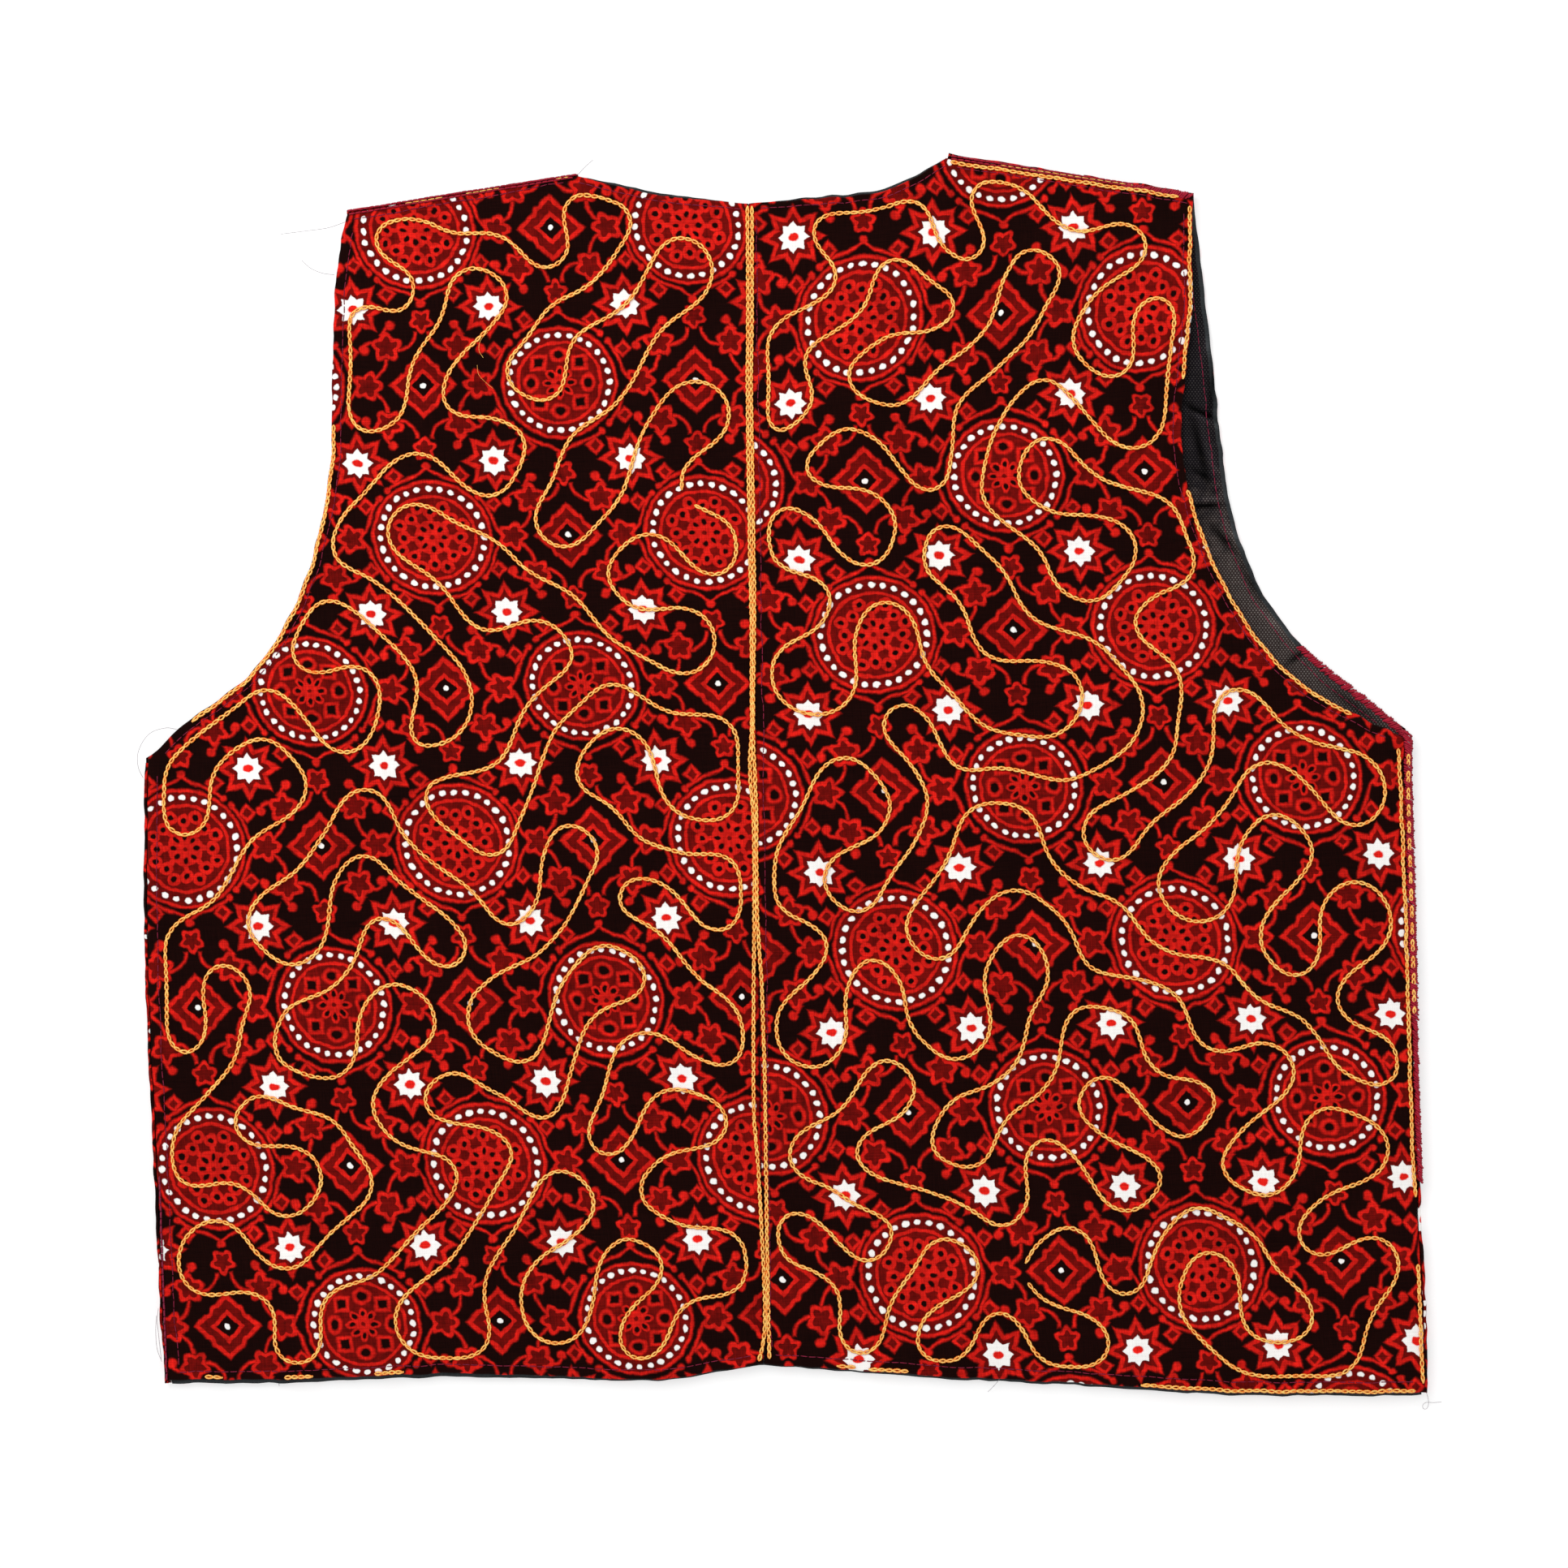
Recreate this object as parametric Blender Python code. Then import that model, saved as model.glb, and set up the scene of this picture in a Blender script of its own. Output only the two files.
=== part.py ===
"""Waist-length folk vest of block-printed cotton, laid flat with its back up.

The vest has two fronts, a back in two halves joined by a centre-back seam, and a dark lining.
+Z is up, +Y points to the neck, +X to the wearer's right, and the origin lies on the floor under
the middle of the vest. Each layer is a closed wall of cloth, and the layers lie on each other.
All lengths in the tables are in millimetres; build() turns them into metres.
"""
import math
from collections import namedtuple

import bpy
from mathutils import Vector

MM = 0.001

# Cloth, in millimetres
SHELL = 1.2             # printed cotton with the stitching through it
LINING = 1.0            # dark lining with its turned-in edges
GAP = 0.3               # between neighbouring pieces

# Height of each layer's underside, in millimetres
FRONT_Z = 0.0
FRONT_LINING_Z = FRONT_Z + SHELL + GAP
BACK_LINING_Z = FRONT_LINING_Z + LINING + GAP
BACK_Z = BACK_LINING_Z + LINING + GAP

# Centre-back seam: a straight line that leans a little, as the vest was laid down
SEAM_TOP = (-15.8, 235.0)
SEAM_HEM = (-9.2, -242.7)

# Centre-front opening and the V of the front neck, both hidden under the back
FRONT_CENTRE_X = -11.0
FRONT_HALF_GAP = 1.5
NECK_V_Y = 45.0         # where the V starts
NECK_V_SLOPE = 0.363    # how fast each neck edge leaves the centre
NECK_SAG = 1.6          # the back sinks this far into the V
NECK_SAG_MARGIN = 2.0   # the back stays level this far inside the V's edges
NECK_SAG_STARTS = 12.0  # half width of the V where the back starts to sink
NECK_SAG_FULL = 52.0    # half width of the V where it sinks all the way

# Rows of the tables where an edge turns sharply
UNDERARM_ROW = 5
BACK_NECK_ROW = 13
FRONT_NECK_ROW = 7

# Grid of each panel
ROW_CUTS = 2            # grid rows between two rows of a table
COLUMNS = 12            # grid columns between the inner and the outer edge
HEM_FADE_ROWS = 3       # the hem's waves are gone this many table rows above it
SIDE_FOLD_FADE = 0.5    # the side fold opens out over this part of a row below the underarm
BISECTIONS = 30         # halvings that find a place on an edge
SHARP_ANGLE = 50.0      # degrees; edges sharper than this are shaded as corners

# A row for each section, from hem to shoulder. from_centre is measured from the centre-back seam,
# outer_x from the middle of the vest, and both point away from the wearer's middle.
BackSection = namedtuple("BackSection", "from_centre inner_y outer_x outer_y")

BACK_RIGHT = [BackSection(*row) for row in (
    (0.0, -242.7, 262.7, -254.0),   # hem
    (0.0, -202.0, 261.0, -212.0),
    (0.0, -148.7, 258.3, -155.3),
    (0.0, -95.3, 257.0, -98.7),
    (0.0, -42.0, 255.7, -42.0),
    (0.0, 8.0, 253.7, 15.3),        # underarm
    (0.0, 26.5, 226.3, 28.7),
    (0.0, 46.5, 206.5, 42.3),
    (0.0, 70.5, 188.5, 64.0),
    (0.0, 98.0, 171.0, 99.0),
    (0.0, 128.0, 162.5, 134.7),
    (0.0, 161.3, 164.0, 161.3),
    (0.0, 194.7, 166.7, 191.3),
    (0.0, 235.0, 166.7, 211.3),     # bottom of the back neck
    (29.4, 237.0, 166.7, 219.7),
    (58.0, 240.6, 166.7, 228.0),
    (81.2, 253.2, 167.0, 237.8),    # shoulder
)]

BACK_LEFT = [BackSection(*row) for row in (
    (0.0, -242.7, 253.8, -249.0),   # hem
    (0.0, -202.0, 256.6, -212.0),
    (0.0, -148.7, 259.0, -155.3),
    (0.0, -95.3, 261.7, -98.7),
    (0.0, -42.0, 262.8, -42.0),
    (0.0, 8.0, 262.3, 7.0),         # underarm
    (0.0, 26.5, 244.3, 23.3),
    (0.0, 46.5, 220.3, 41.3),
    (0.0, 70.5, 202.7, 68.7),
    (0.0, 98.0, 192.7, 98.0),
    (0.0, 128.0, 187.3, 131.3),
    (0.0, 161.3, 186.7, 161.3),
    (0.0, 194.7, 186.0, 189.7),
    (0.0, 235.0, 185.0, 204.7),     # bottom of the back neck
    (30.3, 237.6, 183.7, 214.7),
    (52.0, 241.4, 182.3, 223.0),
    (71.2, 246.2, 180.3, 230.5),    # shoulder
)]

FrontSection = namedtuple("FrontSection", "inner_y outer_x outer_y")

FRONT_RIGHT = [FrontSection(*row) for row in (
    (-243.0, 264.3, -254.8),        # hem
    (-202.0, 262.7, -212.0),
    (-150.0, 259.9, -155.3),
    (-96.0, 258.6, -98.7),
    (-42.0, 257.2, -42.0),
    (8.0, 255.4, 19.0),             # underarm
    (26.0, 237.5, 31.0),
    (45.0, 218.7, 46.3),            # start of the V
    (80.0, 197.0, 73.0),
    (112.0, 184.0, 105.0),
    (142.0, 179.3, 134.0),
    (172.0, 176.0, 164.7),
    (200.0, 172.7, 191.3),
    (218.0, 171.0, 208.0),
    (229.0, 169.5, 219.5),
    (240.0, 168.3, 229.5),
    (255.3, 167.4, 239.8),          # shoulder
)]

FRONT_LEFT = [FrontSection(*row) for row in (
    (-243.0, 255.4, -250.5),        # hem
    (-202.0, 258.2, -212.0),
    (-150.0, 260.6, -155.3),
    (-96.0, 263.2, -98.7),
    (-42.0, 264.3, -42.0),
    (4.0, 263.8, 7.0),              # underarm
    (25.0, 240.0, 20.0),
    (45.0, 214.5, 38.5),            # start of the V
    (80.0, 197.0, 67.0),
    (112.0, 188.0, 97.0),
    (142.0, 184.0, 131.0),
    (172.0, 183.0, 161.0),
    (200.0, 182.5, 189.0),
    (214.0, 182.0, 203.5),
    (224.0, 181.6, 213.0),
    (234.0, 181.2, 222.0),
    (247.7, 180.7, 232.0),          # shoulder
)]

# How far the hem hangs below a straight line, at shares of the way from the centre to the side
HemDrop = namedtuple("HemDrop", "share drop")

HEM_RIGHT = [HemDrop(*row) for row in (
    (0.0, 0.0), (0.13, 0.8), (0.26, 1.8), (0.44, 2.0), (0.69, 3.4), (0.92, 1.6), (1.0, 0.0),
)]
HEM_LEFT = [HemDrop(*row) for row in (
    (0.0, 0.0), (0.08, 2.1), (0.17, 5.0), (0.25, 4.4),
    (0.41, 1.7), (0.55, 0.3), (0.8, 0.9), (1.0, 0.0),
)]

# The fronts turn up at the side and shoulder folds and meet the back there.
# Insets run in from the fold, heights up from the floor, for the cloth's outer and inner face.
RollStop = namedtuple("RollStop", "outer_inset outer_z inner_inset inner_z")

FOLD_ROLL = [RollStop(*row) for row in (
    (8.0, 0.0, 8.0, SHELL),
    (2.4, 0.0, 2.8, SHELL),
    (0.7, 0.7, 1.8, 1.7),
    (0.0, 2.2, 1.2, 2.5),
    (0.0, 4.9, 1.2, 4.9),
)]
OPEN_EDGE = [RollStop(*row) for row in (
    (8.0, 0.0, 8.0, SHELL),
    (4.0, 0.0, 4.0, SHELL),
    (2.0, 0.0, 2.0, SHELL),
    (0.8, 0.0, 0.8, SHELL),
    (0.0, 0.0, 0.0, SHELL),
)]

# Soft folds of the back, a row for each: a long low hill on the cloth
Fold = namedtuple("Fold", "x y half_length half_width turn height")

FOLDS = [Fold(*row) for row in (
    (-13.0, -30.0, 150.0, 26.0, 90.0, 1.6),     # along the centre-back seam
    (-140.0, -150.0, 90.0, 30.0, 72.0, 2.2),
    (-95.0, 60.0, 80.0, 26.0, 104.0, 1.8),
    (-190.0, -20.0, 60.0, 24.0, 38.0, 1.7),     # from the left underarm
    (120.0, -160.0, 85.0, 32.0, 98.0, 2.3),
    (85.0, 90.0, 85.0, 26.0, 80.0, 1.7),
    (190.0, -40.0, 65.0, 24.0, 140.0, 2.0),     # from the right underarm
    (-125.0, 190.0, 45.0, 18.0, 20.0, 1.2),     # across the left shoulder blade
    (110.0, 190.0, 45.0, 18.0, 160.0, 1.2),     # across the right shoulder blade
)]

# How far each lining reaches past its shell (negative: stays inside it)
Margins = namedtuple("Margins", "hem side armhole shoulder inner")

BACK_LINING_MARGINS = Margins(hem=0.8, side=-1.2, armhole=-1.0, shoulder=-1.2, inner=0.8)
FRONT_LINING_MARGINS = Margins(hem=-1.5, side=-2.6, armhole=-0.5, shoulder=-2.6, inner=-1.0)

PRINTED_COTTON = ("printed_cotton", (0.16, 0.016, 0.014), 0.85)
DARK_LINING = ("dark_lining", (0.018, 0.018, 0.020), 0.80)

Panel = namedtuple("Panel", "inner outer neck_row hem")
Grid = namedtuple("Grid", "low high quads")


def smooth(share):
    """Smooth step from 0 to 1."""
    share = min(max(share, 0.0), 1.0)
    return share * share * (3.0 - 2.0 * share)


def mixed(start, end, share):
    """Value at a share of the way from start to end."""
    return start + share * (end - start)


def seam_x(y):
    """The centre-back seam's x at a height on the back."""
    share = (y - SEAM_HEM[1]) / (SEAM_TOP[1] - SEAM_HEM[1])
    return mixed(SEAM_HEM[0], SEAM_TOP[0], share)


def front_edge(y):
    """Distance of a front's inner edge from the centre front."""
    return FRONT_HALF_GAP + NECK_V_SLOPE * max(0.0, y - NECK_V_Y)


def back_panel(sections, side, seam_gap, hem):
    """A back half from its table: side is +1 on the wearer's right and -1 on the left."""
    inner = [Vector((seam_x(section.inner_y) + side * (seam_gap + section.from_centre), section.inner_y))
             for section in sections]
    outer = [Vector((side * section.outer_x, section.outer_y)) for section in sections]
    return Panel(inner, outer, BACK_NECK_ROW, hem)


def front_panel(sections, side, hem):
    """A front from its table: side is +1 on the wearer's right and -1 on the left."""
    inner = [Vector((FRONT_CENTRE_X + side * front_edge(section.inner_y), section.inner_y))
             for section in sections]
    outer = [Vector((side * section.outer_x, section.outer_y)) for section in sections]
    return Panel(inner, outer, FRONT_NECK_ROW, hem)


def trimmed(panel, margins, first_inner_row):
    """The same panel cut wider or narrower along each edge."""
    inner = [point.copy() for point in panel.inner]
    outer = [point.copy() for point in panel.outer]
    for row, (inner_point, outer_point) in enumerate(zip(inner, outer)):
        across = (outer_point - inner_point).normalized()
        outer_point += across * (margins.side if row <= UNDERARM_ROW else margins.armhole)
        if row > panel.neck_row:
            inner_point.y += margins.inner
            inner_point -= across * margins.inner
        elif row >= first_inner_row:
            inner_point -= across * margins.inner
    for edge in (inner, outer):
        edge[0].y -= margins.hem
        edge[-1].y += margins.shoulder
    return panel._replace(inner=inner, outer=outer)


def along(edge, corner, row):
    """Point at a row of a smooth edge that turns sharply at its corner row."""
    last = len(edge) - 1
    index = min(int(row), last - 1)
    share = row - index
    start, end = edge[index], edge[index + 1]
    before = 2 * start - end if index in (0, corner) else edge[index - 1]
    after = 2 * end - start if index + 1 in (last, corner) else edge[index + 2]
    slope_in, slope_out = (end - before) / 2, (after - start) / 2
    square, cube = share ** 2, share ** 3
    return ((2 * cube - 3 * square + 1) * start + (cube - 2 * square + share) * slope_in
            + (3 * square - 2 * cube) * end + (cube - square) * slope_out)


def hem_drop(hem, share):
    """How far the hem hangs below its straight line."""
    for left, right in zip(hem, hem[1:]):
        if share <= right.share:
            blend = smooth((share - left.share) / (right.share - left.share))
            return mixed(left.drop, right.drop, blend)
    return hem[-1].drop


def across_panel(panel, inner_row, outer_row, share):
    """Point on the line from one row of the inner edge to one row of the outer edge."""
    inner = along(panel.inner, panel.neck_row, inner_row)
    outer = along(panel.outer, UNDERARM_ROW, outer_row)
    point = inner.lerp(outer, share)
    fade = 1.0 - smooth(inner_row / HEM_FADE_ROWS)
    point.y -= hem_drop(panel.hem, share) * fade
    return point


def row_at_depth(edge, corner, depth, shoulder):
    """Row of an edge's point that lies at a depth below the shoulder line."""
    start, end = shoulder
    down = Vector(((end - start).y, -(end - start).x)).normalized()
    if down.y > 0:
        down.negate()
    low, high = len(edge) - 2.0, len(edge) - 1.0
    for _ in range(BISECTIONS):
        middle = (low + high) / 2
        if (along(edge, corner, middle) - start).dot(down) > depth:
            low = middle
        else:
            high = middle
    return middle if depth > 0 else len(edge) - 1.0


def back_height(x, y):
    """How far the back sinks into the V of the fronts' neck (negative)."""
    half_width = front_edge(y) - NECK_SAG_MARGIN
    if half_width <= 0:
        return 0.0
    share = abs(x - FRONT_CENTRE_X) / half_width
    if share >= 1.0:
        return 0.0
    return -NECK_SAG * (1.0 - share ** 2) ** 2 * smooth(
        (half_width - NECK_SAG_STARTS) / (NECK_SAG_FULL - NECK_SAG_STARTS))


def fold_height(x, y):
    """Height of the soft folds at a place on the back."""
    total = 0.0
    for fold in FOLDS:
        turn = math.radians(fold.turn)
        dx, dy = x - fold.x, y - fold.y
        lengthwise = (dx * math.cos(turn) + dy * math.sin(turn)) / fold.half_length
        sideways = (dy * math.cos(turn) - dx * math.sin(turn)) / fold.half_width
        total += fold.height * math.exp(-lengthwise ** 2 - sideways ** 2)
    return total


def folded_back_height(x, y):
    """Height of the printed back: it follows the lining under it, with its own soft folds."""
    return back_height(x, y) + fold_height(x, y)


def grid_quads(rows, columns, side):
    """Quads of a grid of points, turning so that they face up."""
    quads = []
    for row in range(rows - 1):
        for column in range(columns - 1):
            corner = row * columns + column
            quad = (corner, corner + 1, corner + columns + 1, corner + columns)
            quads.append(quad if side > 0 else quad[::-1])
    return quads


def flat_grid(panel, side, underside, thickness, height):
    """A panel's wall at one height of the pile, lifted by height(x, y)."""
    rows = [step / ROW_CUTS for step in range((len(panel.inner) - 1) * ROW_CUTS + 1)]
    low, high = [], []
    for row in rows:
        for column in range(COLUMNS + 1):
            x, y = across_panel(panel, row, row, column / COLUMNS)
            z = underside + height(x, y)
            low.append((x, y, z))
            high.append((x, y, z + thickness))
    return Grid(low, high, grid_quads(len(rows), COLUMNS + 1, side))


def folded_grid(panel, side):
    """A front's wall, flat on the floor and turned up at its side and shoulder folds."""
    shoulder = (panel.inner[-1], panel.outer[-1])
    plain_rows = [step / ROW_CUTS for step in range((len(panel.inner) - 2) * ROW_CUTS + 1)]
    stops = [(row, None) for row in plain_rows] + [(None, stop) for stop in FOLD_ROLL]
    columns = COLUMNS + len(FOLD_ROLL)
    faces = []
    for inset_name, z_name in (("outer_inset", "outer_z"), ("inner_inset", "inner_z")):
        face = []
        for row, shoulder_stop in stops:
            if shoulder_stop is None:
                inner_row = outer_row = row
                side_fold = 1.0 - smooth((row - UNDERARM_ROW) / SIDE_FOLD_FADE + 1.0)
            else:
                depth = getattr(shoulder_stop, inset_name)
                inner_row = row_at_depth(panel.inner, panel.neck_row, depth, shoulder)
                outer_row = row_at_depth(panel.outer, UNDERARM_ROW, depth, shoulder)
                side_fold = 0.0
            width = (across_panel(panel, inner_row, outer_row, 1.0)
                     - across_panel(panel, inner_row, outer_row, 0.0)).length
            for column in range(columns):
                if column < COLUMNS:
                    share = column / COLUMNS * (1.0 - FOLD_ROLL[0].outer_inset / width)
                    z = getattr(FOLD_ROLL[0], z_name)
                else:
                    turned, flat = FOLD_ROLL[column - COLUMNS], OPEN_EDGE[column - COLUMNS]
                    share = 1.0 - mixed(getattr(flat, inset_name), getattr(turned, inset_name), side_fold) / width
                    z = mixed(getattr(flat, z_name), getattr(turned, z_name), side_fold)
                if shoulder_stop is not None:
                    z = max(z, getattr(shoulder_stop, z_name))
                point = across_panel(panel, inner_row, outer_row, share)
                face.append((point.x, point.y, FRONT_Z + z))
        faces.append(face)
    return Grid(faces[0], faces[1], grid_quads(len(stops), columns, side))


def joined(left, right):
    """Two grids as one, welded where their points meet along the centre."""
    low, high, quads, places = [], [], [], {}
    for grid in (left, right):
        renumbered = []
        for under, over in zip(grid.low, grid.high):
            key = tuple(round(value, 3) for value in under)
            if key not in places:
                places[key] = len(low)
                low.append(under)
                high.append(over)
            renumbered.append(places[key])
        quads += [tuple(renumbered[index] for index in quad) for quad in grid.quads]
    return Grid(low, high, quads)


def make_material(name, colour, roughness):
    """Plain cloth material."""
    material = bpy.data.materials.get(name) or bpy.data.materials.new(name)
    material.use_nodes = True
    shader = material.node_tree.nodes["Principled BSDF"]
    shader.inputs["Base Color"].default_value = (*colour, 1.0)
    shader.inputs["Roughness"].default_value = roughness
    shader.inputs["Metallic"].default_value = 0.0
    return material


def build(name, grid, cloth):
    """One closed wall of cloth from its two faces, with a rim all round."""
    count = len(grid.low)
    upper = [tuple(index + count for index in quad) for quad in grid.quads]
    lower = [quad[::-1] for quad in grid.quads]
    edges = {(quad[i], quad[(i + 1) % 4]) for quad in grid.quads for i in range(4)}
    rim = [(a, b, b + count, a + count) for a, b in sorted(edges) if (b, a) not in edges]
    points = [tuple(value * MM for value in point) for point in grid.low + grid.high]
    mesh = bpy.data.meshes.new(name)
    mesh.from_pydata(points, [], upper + lower + rim)
    mesh.materials.append(make_material(*cloth))
    mesh.shade_smooth()
    mesh.set_sharp_from_angle(angle=math.radians(SHARP_ANGLE))
    mesh.validate()
    piece = bpy.data.objects.new(name, mesh)
    bpy.context.scene.collection.objects.link(piece)
    return piece


def level(_x, _y):
    """No lift: the layer lies flat."""
    return 0.0


def make_fronts():
    """The two fronts and their linings, face down on the floor."""
    halves = (("left", FRONT_LEFT, -1, HEM_LEFT), ("right", FRONT_RIGHT, 1, HEM_RIGHT))
    for name, sections, side, hem in halves:
        panel = front_panel(sections, side, hem)
        build(f"front_{name}", folded_grid(panel, side), PRINTED_COTTON)
        lining = trimmed(panel, FRONT_LINING_MARGINS, first_inner_row=0)
        build(f"lining_front_{name}", flat_grid(lining, side, FRONT_LINING_Z, LINING, level), DARK_LINING)


def make_back():
    """The back's two halves and the lining in one piece under them."""
    halves = (("left", BACK_LEFT, -1, HEM_LEFT), ("right", BACK_RIGHT, 1, HEM_RIGHT))
    linings = []
    for name, sections, side, hem in halves:
        panel = back_panel(sections, side, GAP / 2, hem)
        build(f"back_{name}", flat_grid(panel, side, BACK_Z, SHELL, folded_back_height), PRINTED_COTTON)
        whole_width = back_panel(sections, side, 0.0, hem)
        lining = trimmed(whole_width, BACK_LINING_MARGINS, first_inner_row=BACK_NECK_ROW + 1)
        linings.append(flat_grid(lining, side, BACK_LINING_Z, LINING, back_height))
    build("lining_back", joined(*linings), DARK_LINING)


def main():
    for leftover in list(bpy.data.objects):
        bpy.data.objects.remove(leftover, do_unlink=True)
    make_fronts()
    make_back()


main()
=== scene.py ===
"""The finish of an embroidered folk vest: printed cloth, dark lining, chain-stitch embroidery and seams.

Each piece of cloth is a thin shell on the form of its solid in the frame. Lengths in the tables
are in millimetres on the vest as it lies, with x to the wearer's right and y to the neck.
"""
import functools
import math
import random
from collections import namedtuple

import bpy
import numpy as np
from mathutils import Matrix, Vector, noise
from mathutils.bvhtree import BVHTree
from mathutils.geometry import delaunay_2d_cdt


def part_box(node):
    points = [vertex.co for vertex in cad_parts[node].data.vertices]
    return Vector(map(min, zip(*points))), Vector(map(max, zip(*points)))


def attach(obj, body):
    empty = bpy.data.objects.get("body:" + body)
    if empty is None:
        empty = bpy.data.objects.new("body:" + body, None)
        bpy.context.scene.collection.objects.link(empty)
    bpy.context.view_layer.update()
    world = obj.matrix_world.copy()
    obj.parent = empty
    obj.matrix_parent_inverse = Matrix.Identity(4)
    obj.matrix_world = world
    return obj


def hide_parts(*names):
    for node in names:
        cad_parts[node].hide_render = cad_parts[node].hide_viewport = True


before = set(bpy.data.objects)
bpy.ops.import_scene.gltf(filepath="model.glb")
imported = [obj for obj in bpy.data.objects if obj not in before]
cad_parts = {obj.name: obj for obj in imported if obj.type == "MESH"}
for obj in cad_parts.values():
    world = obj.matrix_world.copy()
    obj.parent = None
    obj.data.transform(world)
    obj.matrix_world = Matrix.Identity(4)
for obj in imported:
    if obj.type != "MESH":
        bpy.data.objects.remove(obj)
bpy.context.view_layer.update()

bl_info = {
    "name": "Embroidered Folk Vest",
    "version": (1, 0, 0),
    "blender": (4, 5, 0),
    "location": "3D View > Sidebar > Vest",
    "description": "Makes the printed cloth, lining, embroidery and seams of a folk vest",
    "category": "Add Mesh",
}

MM = 0.001
BODY = "root"


# ---- settings

class PrintSettings(bpy.types.PropertyGroup):
    """Colours of the block print."""
    ground: bpy.props.FloatVectorProperty(
        name="Ground", description="Near-black ground of the print",
        default=(0.0082, 0.0013, 0.0009), size=3, min=0.0, max=1.0, subtype="COLOR")
    line: bpy.props.FloatVectorProperty(
        name="Lines", description="Bright red outlines",
        default=(0.78, 0.0140, 0.0085), size=3, min=0.0, max=1.0, subtype="COLOR")
    deep_line: bpy.props.FloatVectorProperty(
        name="Deep lines", description="Red outlines where the dye is deeper",
        default=(0.45, 0.0085, 0.0055), size=3, min=0.0, max=1.0, subtype="COLOR")
    filling: bpy.props.FloatVectorProperty(
        name="Filling", description="Maroon inside the outlines",
        default=(0.184, 0.0038, 0.0026), size=3, min=0.0, max=1.0, subtype="COLOR")
    deep_filling: bpy.props.FloatVectorProperty(
        name="Deep filling", description="Maroon where the dye is deeper",
        default=(0.093, 0.0026, 0.0018), size=3, min=0.0, max=1.0, subtype="COLOR")
    white: bpy.props.FloatVectorProperty(
        name="White", description="Undyed cloth of the stars and dots",
        default=(0.93, 0.91, 0.88), size=3, min=0.0, max=1.0, subtype="COLOR")


class ClothSettings(bpy.types.PropertyGroup):
    """Sizes of the cloth shells."""
    thickness: bpy.props.FloatProperty(
        name="Thickness", description="Thickness of each shell of cloth",
        default=0.0005, min=0.0002, max=0.001, unit="LENGTH")
    back_mesh: bpy.props.FloatProperty(
        name="Back mesh", description="Distance between the points of the back's mesh",
        default=0.0032, min=0.002, max=0.01, unit="LENGTH")
    shown_mesh: bpy.props.FloatProperty(
        name="Shown lining mesh", description="Distance between the points of the lining that shows",
        default=0.0011, min=0.0008, max=0.01, unit="LENGTH")
    hidden_mesh: bpy.props.FloatProperty(
        name="Hidden mesh", description="Distance between the points of the fronts and linings",
        default=0.006, min=0.002, max=0.02, unit="LENGTH")


class StitchSettings(bpy.types.PropertyGroup):
    """Sizes and colours of the stitching."""
    link_length: bpy.props.FloatProperty(
        name="Link length", description="Length of one chain stitch",
        default=0.0030, min=0.001, max=0.006, unit="LENGTH")
    link_width: bpy.props.FloatProperty(
        name="Link width", description="Width of one chain stitch, outside its threads",
        default=0.00188, min=0.001, max=0.004, unit="LENGTH")
    thread: bpy.props.FloatProperty(
        name="Thread", description="Thickness of the embroidery thread",
        default=0.0008, min=0.0002, max=0.0015, unit="LENGTH")
    gold: bpy.props.FloatVectorProperty(
        name="Gold", description="Lit side of the embroidery thread",
        default=(1.0, 0.70, 0.19), size=3, min=0.0, max=1.0, subtype="COLOR")
    # The orange is the painted shade of the thread's sides and of wherever it has no painted highlight.
    shaded_orange: bpy.props.FloatVectorProperty(
        name="Orange", description="Deeper side of the embroidery thread",
        default=(0.96, 0.20, 0.012), size=3, min=0.0, max=1.0, subtype="COLOR")
    crimson: bpy.props.FloatVectorProperty(
        name="Crimson", description="Sewing thread of the seams",
        default=(0.30, 0.015, 0.055), size=3, min=0.0, max=1.0, subtype="COLOR")
    overcast: bpy.props.FloatVectorProperty(
        name="Overcast", description="Thick thread wound over the edges",
        default=(0.46, 0.010, 0.035), size=3, min=0.0, max=1.0, subtype="COLOR")
    loose: bpy.props.FloatVectorProperty(
        name="Loose", description="Fine loose threads",
        default=(0.32, 0.26, 0.30), size=3, min=0.0, max=1.0, subtype="COLOR")


class StageSettings(bpy.types.PropertyGroup):
    """Camera, floor and light."""
    lens: bpy.props.FloatProperty(
        name="Lens", description="Focal length of the camera, in millimetres",
        default=85.0, min=20.0, max=200.0, unit="CAMERA")
    view_width: bpy.props.FloatProperty(
        name="View width", description="Width of what the camera sees at the cloth",
        default=0.644, min=0.1, max=3.0, unit="LENGTH")
    sky: bpy.props.FloatProperty(
        name="Sky", description="Strength of the even light from all round",
        default=0.75, min=0.0, max=5.0)
    lamp: bpy.props.FloatProperty(
        name="Lamp", description="Strength of the large soft lamp above",
        default=9.0, min=0.0, max=200.0, unit="POWER")
    floor_glow: bpy.props.FloatProperty(
        name="Floor glow", description="Light that the white floor gives off, as a lit table does",
        default=0.50, min=0.0, max=1.0, subtype="FACTOR")


SETTINGS = {
    "vest_print": PrintSettings,
    "vest_cloth": ClothSettings,
    "vest_stitching": StitchSettings,
    "vest_stage": StageSettings,
}


# ---- small helpers

SIDE_NAMES = ("left", "right")


def settings_of(name):
    """One group of settings on the scene."""
    return getattr(bpy.context.scene, name)


def new_piece(name, mesh, material, replaced=()):
    """An object of the vest: it rides on the only body and may stand for solids of the frame."""
    piece = bpy.data.objects.new(name, mesh)
    bpy.context.scene.collection.objects.link(piece)
    mesh.materials.append(material)
    mesh.shade_smooth()
    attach(piece, BODY)
    if replaced:
        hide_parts(*replaced)
    return piece


# ---- node helpers

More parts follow.
